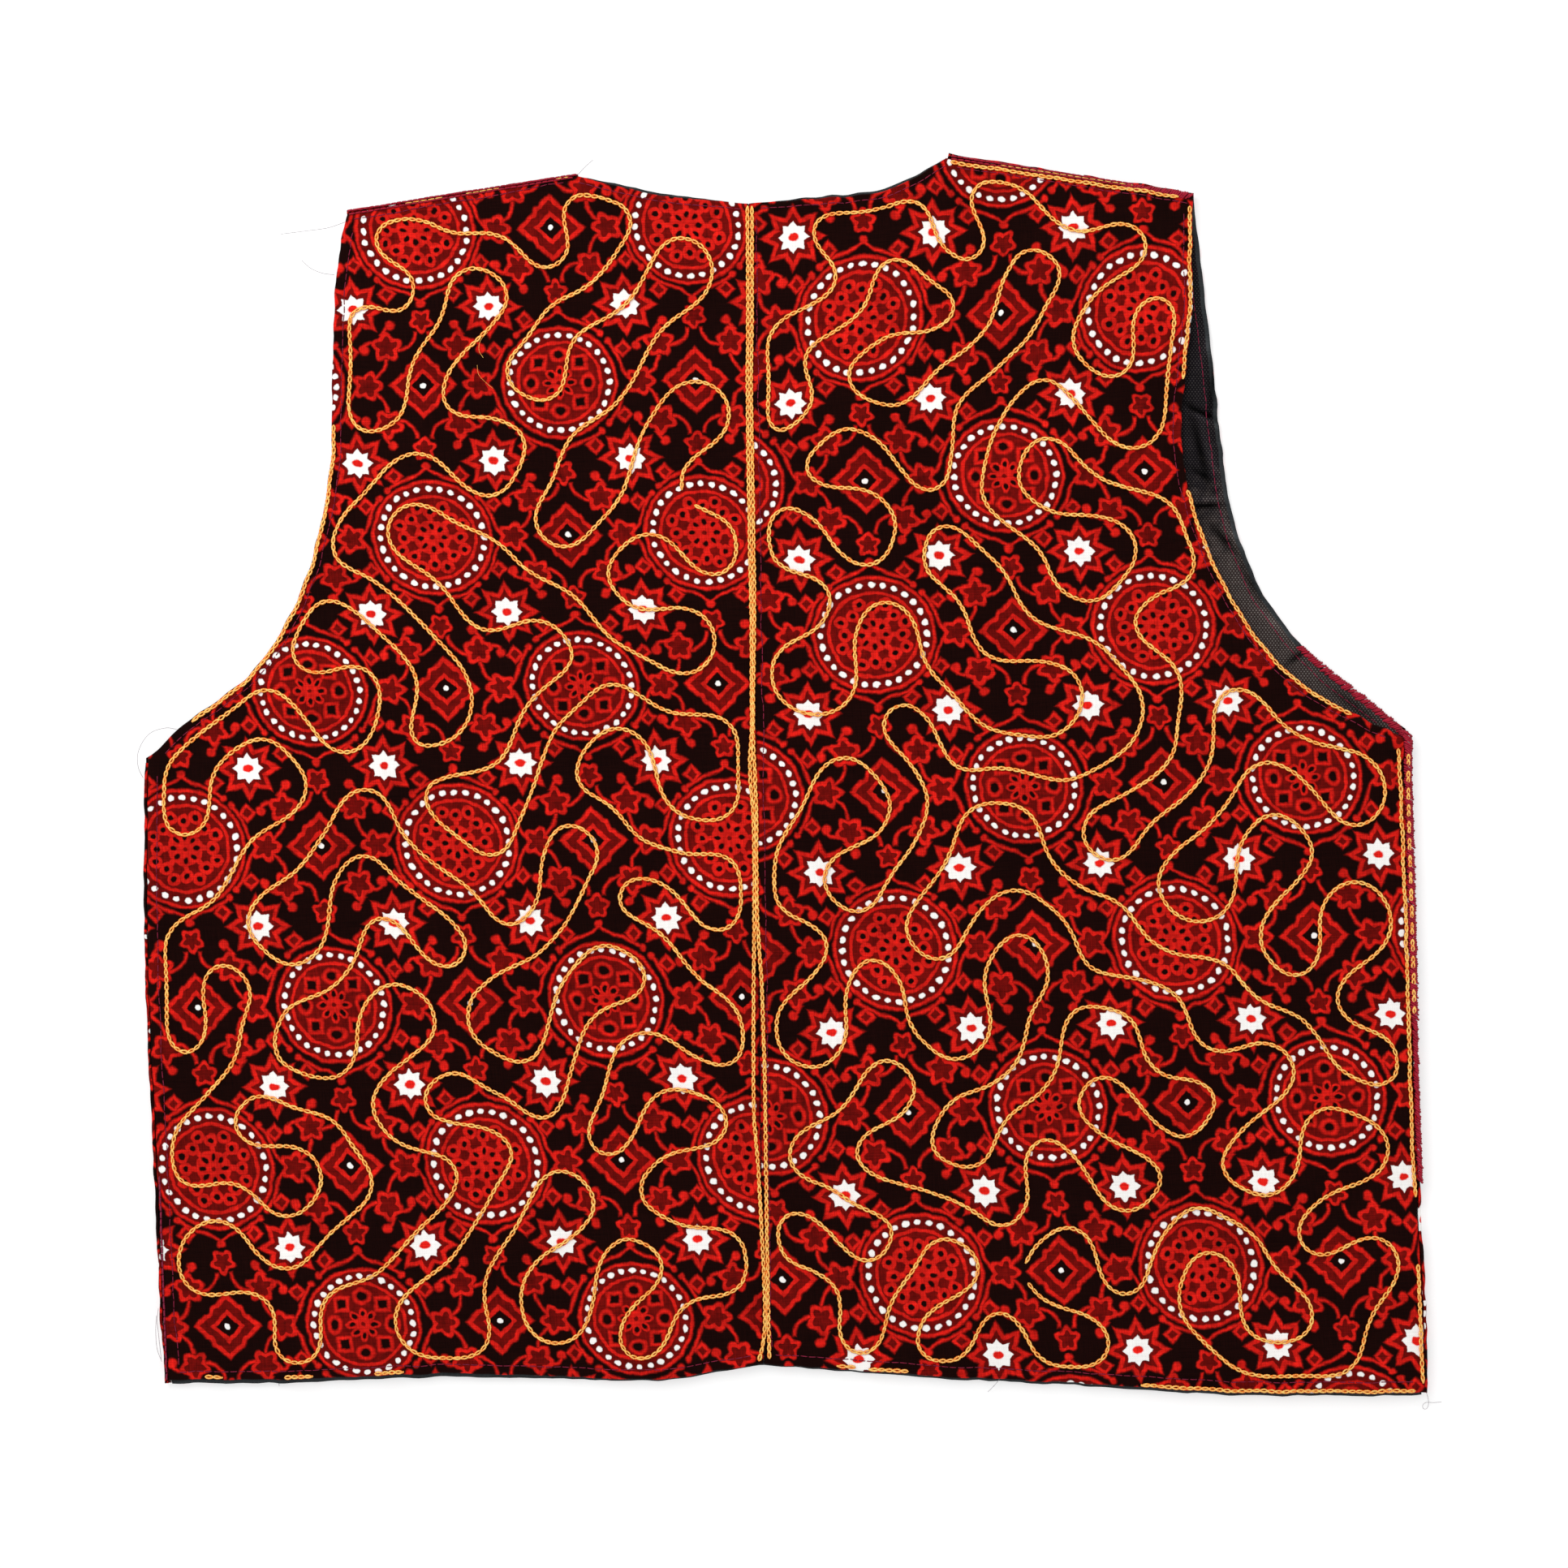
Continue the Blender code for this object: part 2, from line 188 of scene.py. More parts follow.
class Field:
    """A value that changes over the cloth. Arithmetic on it adds Math nodes to its node tree."""

    def __init__(self, tree, socket):
        self.tree = tree
        self.socket = socket

    def math(self, operation, *others, clamp=False):
        node = self.tree.nodes.new("ShaderNodeMath")
        node.operation = operation
        node.use_clamp = clamp
        for entry, value in zip(node.inputs, (self, *others)):
            if isinstance(value, Field):
                self.tree.links.new(value.socket, entry)
            else:
                entry.default_value = value
        return Field(self.tree, node.outputs[0])

    def __add__(self, other):
        return self.math("ADD", other)

    def __sub__(self, other):
        return self.math("SUBTRACT", other)

    def __rsub__(self, other):
        return self.math("MULTIPLY_ADD", -1.0, other)

    def __mul__(self, other):
        return self.math("MULTIPLY", other)

    def __abs__(self):
        return self.math("ABSOLUTE")

    def least(self, other):
        return self.math("MINIMUM", other)

    def most(self, other):
        return self.math("MAXIMUM", other)

    def root(self):
        return self.math("SQRT")

    def sine(self):
        return self.math("SINE")

    def cosine(self):
        return self.math("COSINE")

    def fold(self, width):
        """Folds the value back and forth between 0 and width."""
        return self.math("PINGPONG", width)

    def times_plus(self, factor, addend):
        return self.math("MULTIPLY_ADD", factor, addend)

    def inside(self, softness):
        """Mask that is 1 where the value is below 0, with a soft edge."""
        return self.math("MULTIPLY_ADD", -1.0 / softness, 0.5, clamp=True)


def away(x, y):
    """Distance from where both fields are 0."""
    return y.times_plus(y, x * x).root()


def angle(x, y):
    """Angle of the place (x, y), in radians."""
    return y.math("ARCTAN2", x)


def add_node(tree, kind, **values):
    """A node with its named properties and inputs set."""
    node = tree.nodes.new(kind)
    for name, value in values.items():
        if name in node.inputs:
            node.inputs[name].default_value = value
        else:
            setattr(node, name, value)
    return node


def mix_colour(tree, mask, first, second):
    """Colour socket between two colours, by a mask."""
    node = add_node(tree, "ShaderNodeMix", data_type="RGBA")
    tree.links.new(mask.socket, node.inputs["Factor"])
    colour_inputs = [entry for entry in node.inputs if entry.type == "RGBA"]
    for entry, value in zip(colour_inputs, (first, second)):
        if isinstance(value, bpy.types.NodeSocket):
            tree.links.new(value, entry)
        else:
            entry.default_value = (*value[:3], 1.0)
    return [output for output in node.outputs if output.type == "RGBA"][0]


def add_noise(tree, place, scale, detail, roughness=0.5, flat=True):
    """A noise node over a place socket."""
    node = add_node(tree, "ShaderNodeTexNoise", noise_dimensions="2D" if flat else "3D", Scale=scale,
                    Detail=detail, Roughness=roughness)
    tree.links.new(place, node.inputs["Vector"])
    return node


def axes_of(tree, place):
    """The x and y of a place socket, as fields."""
    split = add_node(tree, "ShaderNodeSeparateXYZ")
    tree.links.new(place, split.inputs[0])
    return Field(tree, split.outputs["X"]), Field(tree, split.outputs["Y"])


def new_group(name, inputs, outputs):
    """A shader node group with named sockets, and its input and output nodes."""
    tree = bpy.data.node_groups.new(name, "ShaderNodeTree")
    for side, sockets in (("INPUT", inputs), ("OUTPUT", outputs)):
        for label, kind, default in sockets:
            socket = tree.interface.new_socket(label, in_out=side, socket_type=kind)
            if default is not None:
                socket.default_value = default
    return tree, tree.nodes.new("NodeGroupInput"), tree.nodes.new("NodeGroupOutput")


def place_group(tree, group, **values):
    """A group node in a material, with its named inputs set."""
    node = tree.nodes.new("ShaderNodeGroup")
    node.node_tree = group
    for name, value in values.items():
        node.inputs[name.replace("_", " ")].default_value = value
    return node


# ---- the print

# One repeat of the print, in millimetres. Roundels stand at its corner and its middle, diamonds
# between them, and white stars between the diamonds.
HALF_ACROSS = 56.7
HALF_DOWN = 65.0
FADE = 1.1                  # width over which the dye of a line fades into the ground
FADE_OUT = 0.2              # how far outside the line the middle of that fade lies
SPREAD = 0.5                # width of the soft edge of the shapes inside a motif
WHITE_SPREAD = 0.3          # and of the undyed cloth
HALF_DIAGONAL = math.sqrt(0.5)
HALF_EIGHTH = math.pi / 8   # of a turn: half a point of a star, or half a petal of a floret

# How far the place wanders before the motifs are drawn, and how the depth of the dye changes
WANDER_SCALE, WANDER_DETAIL, WANDER_ROUGHNESS = 0.16, 3.0, 0.62
WANDER_REACH, WANDER_SHARE = 6.0, 0.35
DYE_SCALE, DYE_DETAIL, DYE_ROUGHNESS = 0.22, 4.0, 0.6
DYE_CONTRAST, DYE_OFFSET = 2.2, -0.6

ROUNDEL_SQUASH = 1.02       # a roundel is this much wider than high
CORNER_ROUNDEL, MIDDLE_ROUNDEL = 0.975, 1.02    # scale of the distances in the two kinds
ROUNDEL_RADIUS = 24.5
ROUNDEL_LINE = 1.3
INNER_RING = 17.7
INNER_RING_HALF_LINE = 0.65
DOT_RING = 21.0
DOT_STEP = math.tau / 28
DOT_ACROSS, DOT_ALONG = 1.14, 1.34

PETAL_DISTANCE = 4.8
PETAL_HALF_LENGTH, PETAL_HALF_WIDTH = 1.45, 0.95
PETAL_RIM = 1.85            # size of a petal with its rim, against the petal
FLORET_HEART, FLORET_EYE = 3.6, 0.95
WEB_RADIUS = 7.2            # the red web of the corner roundels
WEB_HALF_SPOKE, WEB_SPOKE_END = 1.05, 9.5
BEAD_NEAR, BEAD_FAR = (11.4, 0.0), (12.6, 5.2)
BEAD_RADIUS, BEAD_RIM = 1.2, 2.75
OVAL_PLACE, OVAL_HALVES = (12.0, 0.0), (1.9, 2.3)
BOX_PLACE, BOX_HALF = (8.6, 8.4), 1.85
CELL_RIM = 1.75             # size of an oval or box with its rim, against its hole

BRACKET_RADIUS = 26.8
BRACKET_HALF_LINE = 0.6
BRACKET_APEX_RISE = 3.0
BRACKET_APEX_ANGLE = 0.26
BRACKET_ANGLE = 0.70
KNOB_RADIUS = 1.35
SQUARE_PLACE = (26.6, 14.0)
SQUARE_HALF = 3.75          # from its middle to a corner
SQUARE_LINE = 1.25
STEM_KNOB_DISTANCE = 30.6
STEM_KNOB_RADIUS = 1.7

FLOWER_PETALS = 5.0
FLOWER_RADIUS, FLOWER_LOBE = 5.6, 0.95
FLOWER_INNER, FLOWER_INNER_LOBE = 3.75, 0.95
UPPER_FLOWER_SIZE = 0.82        # the flowers above and below the diamond are smaller
SIDE_FLOWER_DISTANCE = 33.6     # from the roundel, to its left and right
UPPER_FLOWER_DISTANCE = 27.0    # from the diamond, above and below
CORNER_FLOWER = (14.9, 16.3)    # from the diamond, on its four diagonals

# Tendrils, from the diamond: balls, a curl, a stalk and two arcs
BALLS = ((24.3, 15.0, 1.9), (13.3, 25.3, 1.85))
CURL_PLACE, CURL_RADIUS = (21.3, 15.3), 3.0
STALK_PLACE, STALK_HALF_LENGTH = (15.5, 23.0), 2.6
STALK_WAY = (0.8, 0.6)
UPPER_ARC_PLACE, UPPER_ARC_RADIUS = (10.5, 22.5), 7.6
SIDE_ARC_PLACE, SIDE_ARC_RADIUS, SIDE_ARC_END = (24.6, 11.3), 9.4, 20.5
TENDRIL_HALF_LINE = 0.6

DIAMOND_HALF = 14.0
DIAMOND_LINE = 1.75
DIAMOND_STEP = 0.8
DIAMOND_STEPS = 0.75        # turns of the stepped side for each millimetre
INNER_DIAMOND = 5.9
INNER_DIAMOND_HALF_LINE = 0.85
DIAMOND_EYE = 4.7
DIAMOND_DOT = 1.15

STAR_TIP, STAR_VALLEY = 13.3, 8.4
STAR_LINE = 1.7
WHITE_TIP, WHITE_VALLEY = 6.35, 4.6
STAR_HEART = (2.1, 1.6)


def star_distance(radius, turn, tip, valley):
    """Distance outside an eight-pointed star, from its polar place folded to one half point."""
    valley_x, valley_y = valley * math.cos(HALF_EIGHTH), valley * math.sin(HALF_EIGHTH)
    length = math.hypot(tip - valley_x, valley_y)
    across, up = valley_y / length, (tip - valley_x) / length
    return (turn.cosine() * across + turn.sine() * up) * radius - tip * across


def ring_line(x, y, place, radius):
    """Distance outside a thin line that runs round a place."""
    return abs(away(x - place[0], y - place[1]) - radius) - TENDRIL_HALF_LINE


def flower_lines(x, y, wave, outer, inner):
    """Outer and inner distances of a five-petalled flower; wave turns its petals."""
    far = away(x, y)
    lobes = wave(angle(x, y) * FLOWER_PETALS)
    outer = outer.least(far - lobes.times_plus(FLOWER_LOBE, FLOWER_RADIUS))
    inner = inner.least(far - lobes.times_plus(FLOWER_INNER_LOBE, FLOWER_INNER))
    return outer, inner


def wandered_place(tree, entry):
    """Both axes of a place that wanders a little, because hand printing is never quite even."""
    wander = add_noise(tree, entry.outputs["Place"], WANDER_SCALE, WANDER_DETAIL, WANDER_ROUGHNESS)
    centred = add_node(tree, "ShaderNodeVectorMath", operation="SUBTRACT")
    centred.inputs[1].default_value = (0.5, 0.5, 0.5)
    tree.links.new(wander.outputs["Color"], centred.inputs[0])
    shift = add_node(tree, "ShaderNodeVectorMath", operation="SCALE")
    tree.links.new(centred.outputs[0], shift.inputs[0])
    tree.links.new(entry.outputs["Unevenness"], shift.inputs["Scale"])
    moved = add_node(tree, "ShaderNodeVectorMath", operation="MULTIPLY_ADD")
    moved.inputs[1].default_value = (WANDER_REACH, WANDER_REACH, 0.0)
    tree.links.new(shift.outputs[0], moved.inputs[0])
    tree.links.new(entry.outputs["Place"], moved.inputs[2])
    return axes_of(tree, moved.outputs[0])


def add_brackets(x, y, outer, inner):
    """Outer and inner distances with the brackets and their squares, beside the roundel and above."""
    far = away(x, y)
    long_side, short_side = x.most(y), x.least(y)
    slant = angle(long_side, short_side)
    apex = slant.math("MULTIPLY_ADD", -1.0 / BRACKET_APEX_ANGLE, 1.0, clamp=True)
    curve = (apex * apex).times_plus(BRACKET_APEX_RISE, BRACKET_RADIUS)
    arc_end = slant * BRACKET_RADIUS - BRACKET_ANGLE * BRACKET_RADIUS
    arc = (abs(far - curve) - BRACKET_HALF_LINE).most(arc_end)
    knob = away(long_side - BRACKET_RADIUS * math.cos(BRACKET_ANGLE),
                short_side - BRACKET_RADIUS * math.sin(BRACKET_ANGLE)) - KNOB_RADIUS
    stem = away(long_side - STEM_KNOB_DISTANCE, short_side) - STEM_KNOB_RADIUS
    square_x, square_y = abs(long_side - SQUARE_PLACE[0]), abs(short_side - SQUARE_PLACE[1])
    square = (square_x + square_y - SQUARE_HALF) * HALF_DIAGONAL
    outer = outer.least(arc).least(knob).least(stem).least(square)
    return outer, inner.least(square + SQUARE_LINE)


def add_flowers(x, from_diamond, y, outer, inner):
    """The same with the flowers beside the roundel, above the diamond and on its diagonals."""
    outer, inner = flower_lines(x - SIDE_FLOWER_DISTANCE, y, Field.cosine, outer, inner)
    upper_x = from_diamond * (1.0 / UPPER_FLOWER_SIZE)
    upper_y = (UPPER_FLOWER_DISTANCE - y) * (1.0 / UPPER_FLOWER_SIZE)
    outer, inner = flower_lines(upper_x, upper_y, Field.sine, outer, inner)
    corner_x, corner_y = from_diamond - CORNER_FLOWER[0], y - CORNER_FLOWER[1]
    return flower_lines(corner_x, corner_y, Field.sine, outer, inner)


def add_tendrils(from_diamond, y, outer):
    """Outer distance with the tendrils and the arcs between the flowers."""
    for ball_x, ball_y, ball in BALLS:
        outer = outer.least(away(from_diamond - ball_x, y - ball_y) - ball)
    curl = ring_line(from_diamond, y, CURL_PLACE, CURL_RADIUS)
    outer = outer.least(curl.most(CURL_PLACE[1] - y))
    stalk_x, stalk_y = from_diamond - STALK_PLACE[0], y - STALK_PLACE[1]
    stalk_beside = abs(stalk_x * STALK_WAY[0] + stalk_y * STALK_WAY[1]) - TENDRIL_HALF_LINE
    stalk_along = abs(stalk_y * STALK_WAY[0] - stalk_x * STALK_WAY[1]) - STALK_HALF_LENGTH
    outer = outer.least(stalk_beside.most(stalk_along))
    upper_arc = ring_line(from_diamond, y, UPPER_ARC_PLACE, UPPER_ARC_RADIUS)
    outer = outer.least(upper_arc.most(from_diamond - UPPER_ARC_PLACE[0]).most(y - UPPER_ARC_PLACE[1]))
    side_arc = ring_line(from_diamond, y, SIDE_ARC_PLACE, SIDE_ARC_RADIUS)
    return outer.least(side_arc.most(from_diamond - SIDE_ARC_END).most(y - SIDE_ARC_PLACE[1]))


def roundel_inside(x, y, round_far, second, over, hole, white):
    """Distances of the lines, holes and white dots inside the roundels, and of their eye.

    One kind has beads in a red web, and the other, where second is 1, has ovals and boxes.
    """
    over = over.least(abs(round_far - INNER_RING) - INNER_RING_HALF_LINE)
    turn = angle(x, y)
    dot_along = turn.fold(DOT_STEP / 2) * (DOT_RING / DOT_ALONG)
    white = white.least(away(dot_along, (round_far - DOT_RING) * (1.0 / DOT_ACROSS)) - 1.0)
    eighth = turn.fold(HALF_EIGHTH)
    spoke, beside = eighth.cosine() * round_far, eighth.sine() * round_far
    petal_along = (spoke - PETAL_DISTANCE) * (1.0 / PETAL_HALF_LENGTH)
    petal = away(petal_along, beside * (1.0 / PETAL_HALF_WIDTH))
    hole = hole.least(petal - 1.0)

    bead = away(spoke - BEAD_NEAR[0], beside).least(away(spoke - BEAD_FAR[0], beside - BEAD_FAR[1]))
    web = (round_far - WEB_RADIUS).least((beside - WEB_HALF_SPOKE).most(spoke - WEB_SPOKE_END))
    web = web.least(bead - BEAD_RIM)
    wide, high = x.most(y), x.least(y)
    oval = away((wide - OVAL_PLACE[0]) * (1.0 / OVAL_HALVES[0]), high * (1.0 / OVAL_HALVES[1]))
    box = abs(wide - BOX_PLACE[0]).most(abs(high - BOX_PLACE[1])) * (1.0 / BOX_HALF)
    cell = oval.least(box)
    rims = (round_far - FLORET_HEART).least(petal - PETAL_RIM).least(cell - CELL_RIM)
    over = over.least(second.times_plus(rims - web, web))
    bead_hole = bead - BEAD_RADIUS
    hole = hole.least(second.times_plus(cell - 1.0 - bead_hole, bead_hole))
    return over, hole, white, round_far - FLORET_EYE


def print_group(settings):
    """Node group of the block print: a place on the cloth in, colour and whiteness out."""
    tree, entry, result = new_group(
        "block_print",
        [("Place", "NodeSocketVector", None), ("Unevenness", "NodeSocketFloat", WANDER_SHARE)],
        [("Color", "NodeSocketColor", None), ("White", "NodeSocketFloat", None)])
    cloth_x, cloth_y = wandered_place(tree, entry)

    # fold the cloth to one quarter of the repeat, then its upper half onto the lower half
    x = cloth_x.fold(HALF_ACROSS)
    y = cloth_y.fold(HALF_DOWN)
    second = y.math("GREATER_THAN", HALF_DOWN / 2)
    x = second.times_plus(HALF_ACROSS - x * 2.0, x)
    y = y.least(HALF_DOWN - y)
    from_diamond = HALF_ACROSS - x

    # roundel
    squashed = y * ROUNDEL_SQUASH
    scale = second.times_plus(MIDDLE_ROUNDEL - CORNER_ROUNDEL, CORNER_ROUNDEL)
    round_far = away(x, squashed) * scale
    outer = round_far - ROUNDEL_RADIUS
    inner = round_far - (ROUNDEL_RADIUS - ROUNDEL_LINE)

    outer, inner = add_brackets(x, y, outer, inner)
    outer, inner = add_flowers(x, from_diamond, y, outer, inner)
    outer = add_tendrils(from_diamond, y, outer)

    # diamond
    taxi = from_diamond + y
    limit = math.pi / DIAMOND_STEPS
    skew = (from_diamond - y).most(-limit).least(limit) * DIAMOND_STEPS
    diamond = (skew.sine().times_plus(DIAMOND_STEP, taxi) - DIAMOND_HALF) * HALF_DIAGONAL
    outer = outer.least(diamond)
    inner = inner.least(diamond + DIAMOND_LINE)
    over = abs(taxi - INNER_DIAMOND) * HALF_DIAGONAL - INNER_DIAMOND_HALF_LINE
    hole = (taxi - DIAMOND_EYE) * HALF_DIAGONAL
    white = away(from_diamond, y) - DIAMOND_DOT

    # star
    star_x, star_y = abs(x - HALF_ACROSS / 2), abs(y - HALF_DOWN / 2)
    star_far = away(star_x, star_y)
    star_turn = angle(star_x, star_y).fold(HALF_EIGHTH)
    star = star_distance(star_far, star_turn, STAR_TIP, STAR_VALLEY)
    outer = outer.least(star)
    inner = inner.least(star + STAR_LINE)
    white = white.least(star_distance(star_far, star_turn, WHITE_TIP, WHITE_VALLEY))
    heart = away(star_x * (1.0 / STAR_HEART[0]), star_y * (1.0 / STAR_HEART[1])) - 1.0

    over, hole, white, eye = roundel_inside(x, squashed, round_far, second, over, hole, white)

    # the depth of the dye is uneven, and each line fades out where it spreads
    depth = add_noise(tree, entry.outputs["Place"], DYE_SCALE, DYE_DETAIL, DYE_ROUGHNESS)
    light = Field(tree, depth.outputs["Fac"]).math("MULTIPLY_ADD", DYE_CONTRAST, DYE_OFFSET, clamp=True)
    line = mix_colour(tree, light, settings.deep_line, settings.line)
    filling = mix_colour(tree, light, settings.deep_filling, settings.filling)
    spread = (outer - FADE_OUT).inside(FADE)
    colour = mix_colour(tree, spread * spread, settings.ground, line)
    whiteness, redness = white.inside(WHITE_SPREAD), heart.inside(WHITE_SPREAD)
    layers = (
        (inner.inside(SPREAD), filling), (over.inside(SPREAD), line), (eye.inside(SPREAD), filling),
        (hole.inside(SPREAD), settings.ground), (whiteness, settings.white), (redness, settings.line))
    for mask, dye in layers:
        colour = mix_colour(tree, mask, colour, dye)
    tree.links.new(colour, result.inputs["Color"])
    tree.links.new((whiteness - redness).socket, result.inputs["White"])
    return tree


COTTON_PITCH, LINING_PITCH = 0.45, 0.38     # between the threads of the two weaves
SLUBS = ((2.4, 0.12, 1.0), (0.10, 2.1, 1.0))    # stretch of the thick places in warp and weft
SLUB_DETAIL = 2.0
SLUB_RELIEF = 0.9           # against that of the threads
SLUB_SHADE, THREAD_SHADE, LEAST_SHADE = 0.9, 0.16, 0.92


def weave_group():
    """Node group of a plain weave: a place in millimetres in, thread height and a shade out."""
    tree, entry, result = new_group(
        "plain_weave",
        [("Place", "NodeSocketVector", None), ("Pitch", "NodeSocketFloat", COTTON_PITCH)],
        [("Height", "NodeSocketFloat", None), ("Shade", "NodeSocketFloat", None)])
    x, y = axes_of(tree, entry.outputs["Place"])
    pitch = Field(tree, entry.outputs["Pitch"])
    warp = (x.math("DIVIDE", pitch) * math.pi).sine()
    weft = (y.math("DIVIDE", pitch) * math.pi).sine()
    threads = (warp * weft).times_plus(0.5, 0.5)
    slubs = []
    for stretch in SLUBS:
        scaled = add_node(tree, "ShaderNodeVectorMath", operation="MULTIPLY")
        scaled.inputs[1].default_value = stretch
        tree.links.new(entry.outputs["Place"], scaled.inputs[0])
        streaks = add_noise(tree, scaled.outputs[0], 1.0, SLUB_DETAIL)
        slubs.append(Field(tree, streaks.outputs["Fac"]))
    uneven = slubs[0] + slubs[1] - 1.0
    height = threads + uneven * SLUB_RELIEF
    tree.links.new(height.socket, result.inputs["Height"])
    # Painted shade of the weave: the threads are darker between their crowns, and the slubs vary the tone at
    # random.
    shade = uneven.times_plus(SLUB_SHADE, threads * THREAD_SHADE) + LEAST_SHADE
    tree.links.new(shade.socket, result.inputs["Shade"])
    return tree


def uv_place(tree, layer="cloth"):
    """Socket of a place on the cloth, in millimetres."""
    return add_node(tree, "ShaderNodeUVMap", uv_map=layer).outputs["UV"]


def new_material(name):
    """A node material, with its tree and its shader."""
    material = bpy.data.materials.new(name)
    material.use_nodes = True
    tree = material.node_tree
    shader = tree.nodes["Principled BSDF"]
    return material, tree, shader


def scale_colour(tree, colour, factor):
    """Colour socket times a number socket."""
    node = add_node(tree, "ShaderNodeVectorMath", operation="SCALE")
    tree.links.new(colour, node.inputs[0])
    tree.links.new(factor.socket, node.inputs["Scale"])
    return node.outputs[0]


def bump(tree, shader, height, distance, strength=1.0):
    """Small relief on a shader from a height socket."""
    node = add_node(tree, "ShaderNodeBump", Strength=strength, Distance=distance)
    tree.links.new(height, node.inputs["Height"])
    tree.links.new(node.outputs["Normal"], shader.inputs["Normal"])


UNDYED_SHADE = 1.04         # the white cloth is lighter than the dyed cloth
UNDYED_EVENNESS = 0.75      # and more even
WEAR_SCALE, WEAR_DETAIL = 0.03, 4.0     # of the large patches where the dye has worn
WEAR_CONTRAST, WEAR_LEAST = 0.5, 0.75
COTTON_ROUGHNESS, COTTON_SPECULAR = 0.88, 0.04
COTTON_SHEEN, COTTON_SHEEN_ROUGHNESS = 0.02, 0.45
COTTON_RELIEF = 0.00006     # of its weave, in metres


def printed_cotton_material(settings, print_tree, weave_tree):
    """Block-printed cotton."""
    material, tree, shader = new_material("printed_cotton")
    place = uv_place(tree)
    pattern = place_group(tree, print_tree)
    tree.links.new(place, pattern.inputs["Place"])
    weave = place_group(tree, weave_tree, Pitch=COTTON_PITCH)
    tree.links.new(place, weave.inputs["Place"])
    patches = add_noise(tree, place, WEAR_SCALE, WEAR_DETAIL)
    dye = Field(tree, patches.outputs["Fac"]).times_plus(WEAR_CONTRAST, WEAR_LEAST)
    shade = dye * Field(tree, weave.outputs["Shade"])
    undyed = Field(tree, pattern.outputs["White"]) * UNDYED_EVENNESS
    shade = (UNDYED_SHADE - shade) * undyed + shade
    colour = scale_colour(tree, pattern.outputs["Color"], shade)
    tree.links.new(colour, shader.inputs["Base Color"])
    shader.inputs["Roughness"].default_value = COTTON_ROUGHNESS
    shader.inputs["Specular IOR Level"].default_value = COTTON_SPECULAR
    shader.inputs["Sheen Weight"].default_value = COTTON_SHEEN
    shader.inputs["Sheen Roughness"].default_value = COTTON_SHEEN_ROUGHNESS
    bump(tree, shader, weave.outputs["Height"], COTTON_RELIEF)
    return material


PIN_DOT_ACROSS, PIN_DOT_DOWN = 0.66, 0.9    # half the pitch of the lining's staggered pin dots
PIN_DOT_RADIUS, PIN_DOT_SOFTNESS = 0.22, 0.3
PIN_DOT_COLOUR = (0.20, 0.185, 0.170)
PIN_DOT_LEAST, PIN_DOT_PALER = 0.25, 0.75    # how strong the dots are, and how much more where the lining is paler, from wear and from lying below the painted shade of its folds
LINING_STRIP, STRIP_SOFTNESS = 1.9, 0.5     # width of its plain turned edge
LINING_STRIP_COLOUR = (0.031, 0.034, 0.036)
# The paler ground is where the lining is worn at random and where it lies below the painted shade of its
# folds.
LINING_BLACK, LINING_PALER = (0.0080, 0.0064, 0.0082), (0.033, 0.0235, 0.022)
FOLD_SHADE_ABOVE = 118.0          # height over which the lining is painted darker, a painted shade of its folds, and under which it is paler
FOLD_SHADE_OVER = 34.0            # height over which it turns so
WORN_SCALE, WORN_DETAIL = 0.22, 3.0
WORN_CONTRAST, WORN_OFFSET = 1.8, 0.75
TUCK_SHADE = 1.15           # painted shade: how much darker the lining is at the bottom of a tuck; painted highlight: how much paler on a ridge
DARKEST_TUCK = 0.05
LINING_ROUGHNESS, LINING_SPECULAR = 0.8, 0.02
LINING_RELIEF = 0.00005     # of its weave, in metres


# What is made once is kept here and not looked up by its name, because the frame has plain
# materials of the same names.
@functools.cache
def plain_weave():
    """The node group of the weave, made once."""
    return weave_group()


@functools.cache
def printed_cotton():
    """The material of the back and the fronts, made once."""
    settings = settings_of("vest_print")
    return printed_cotton_material(settings, print_group(settings), plain_weave())


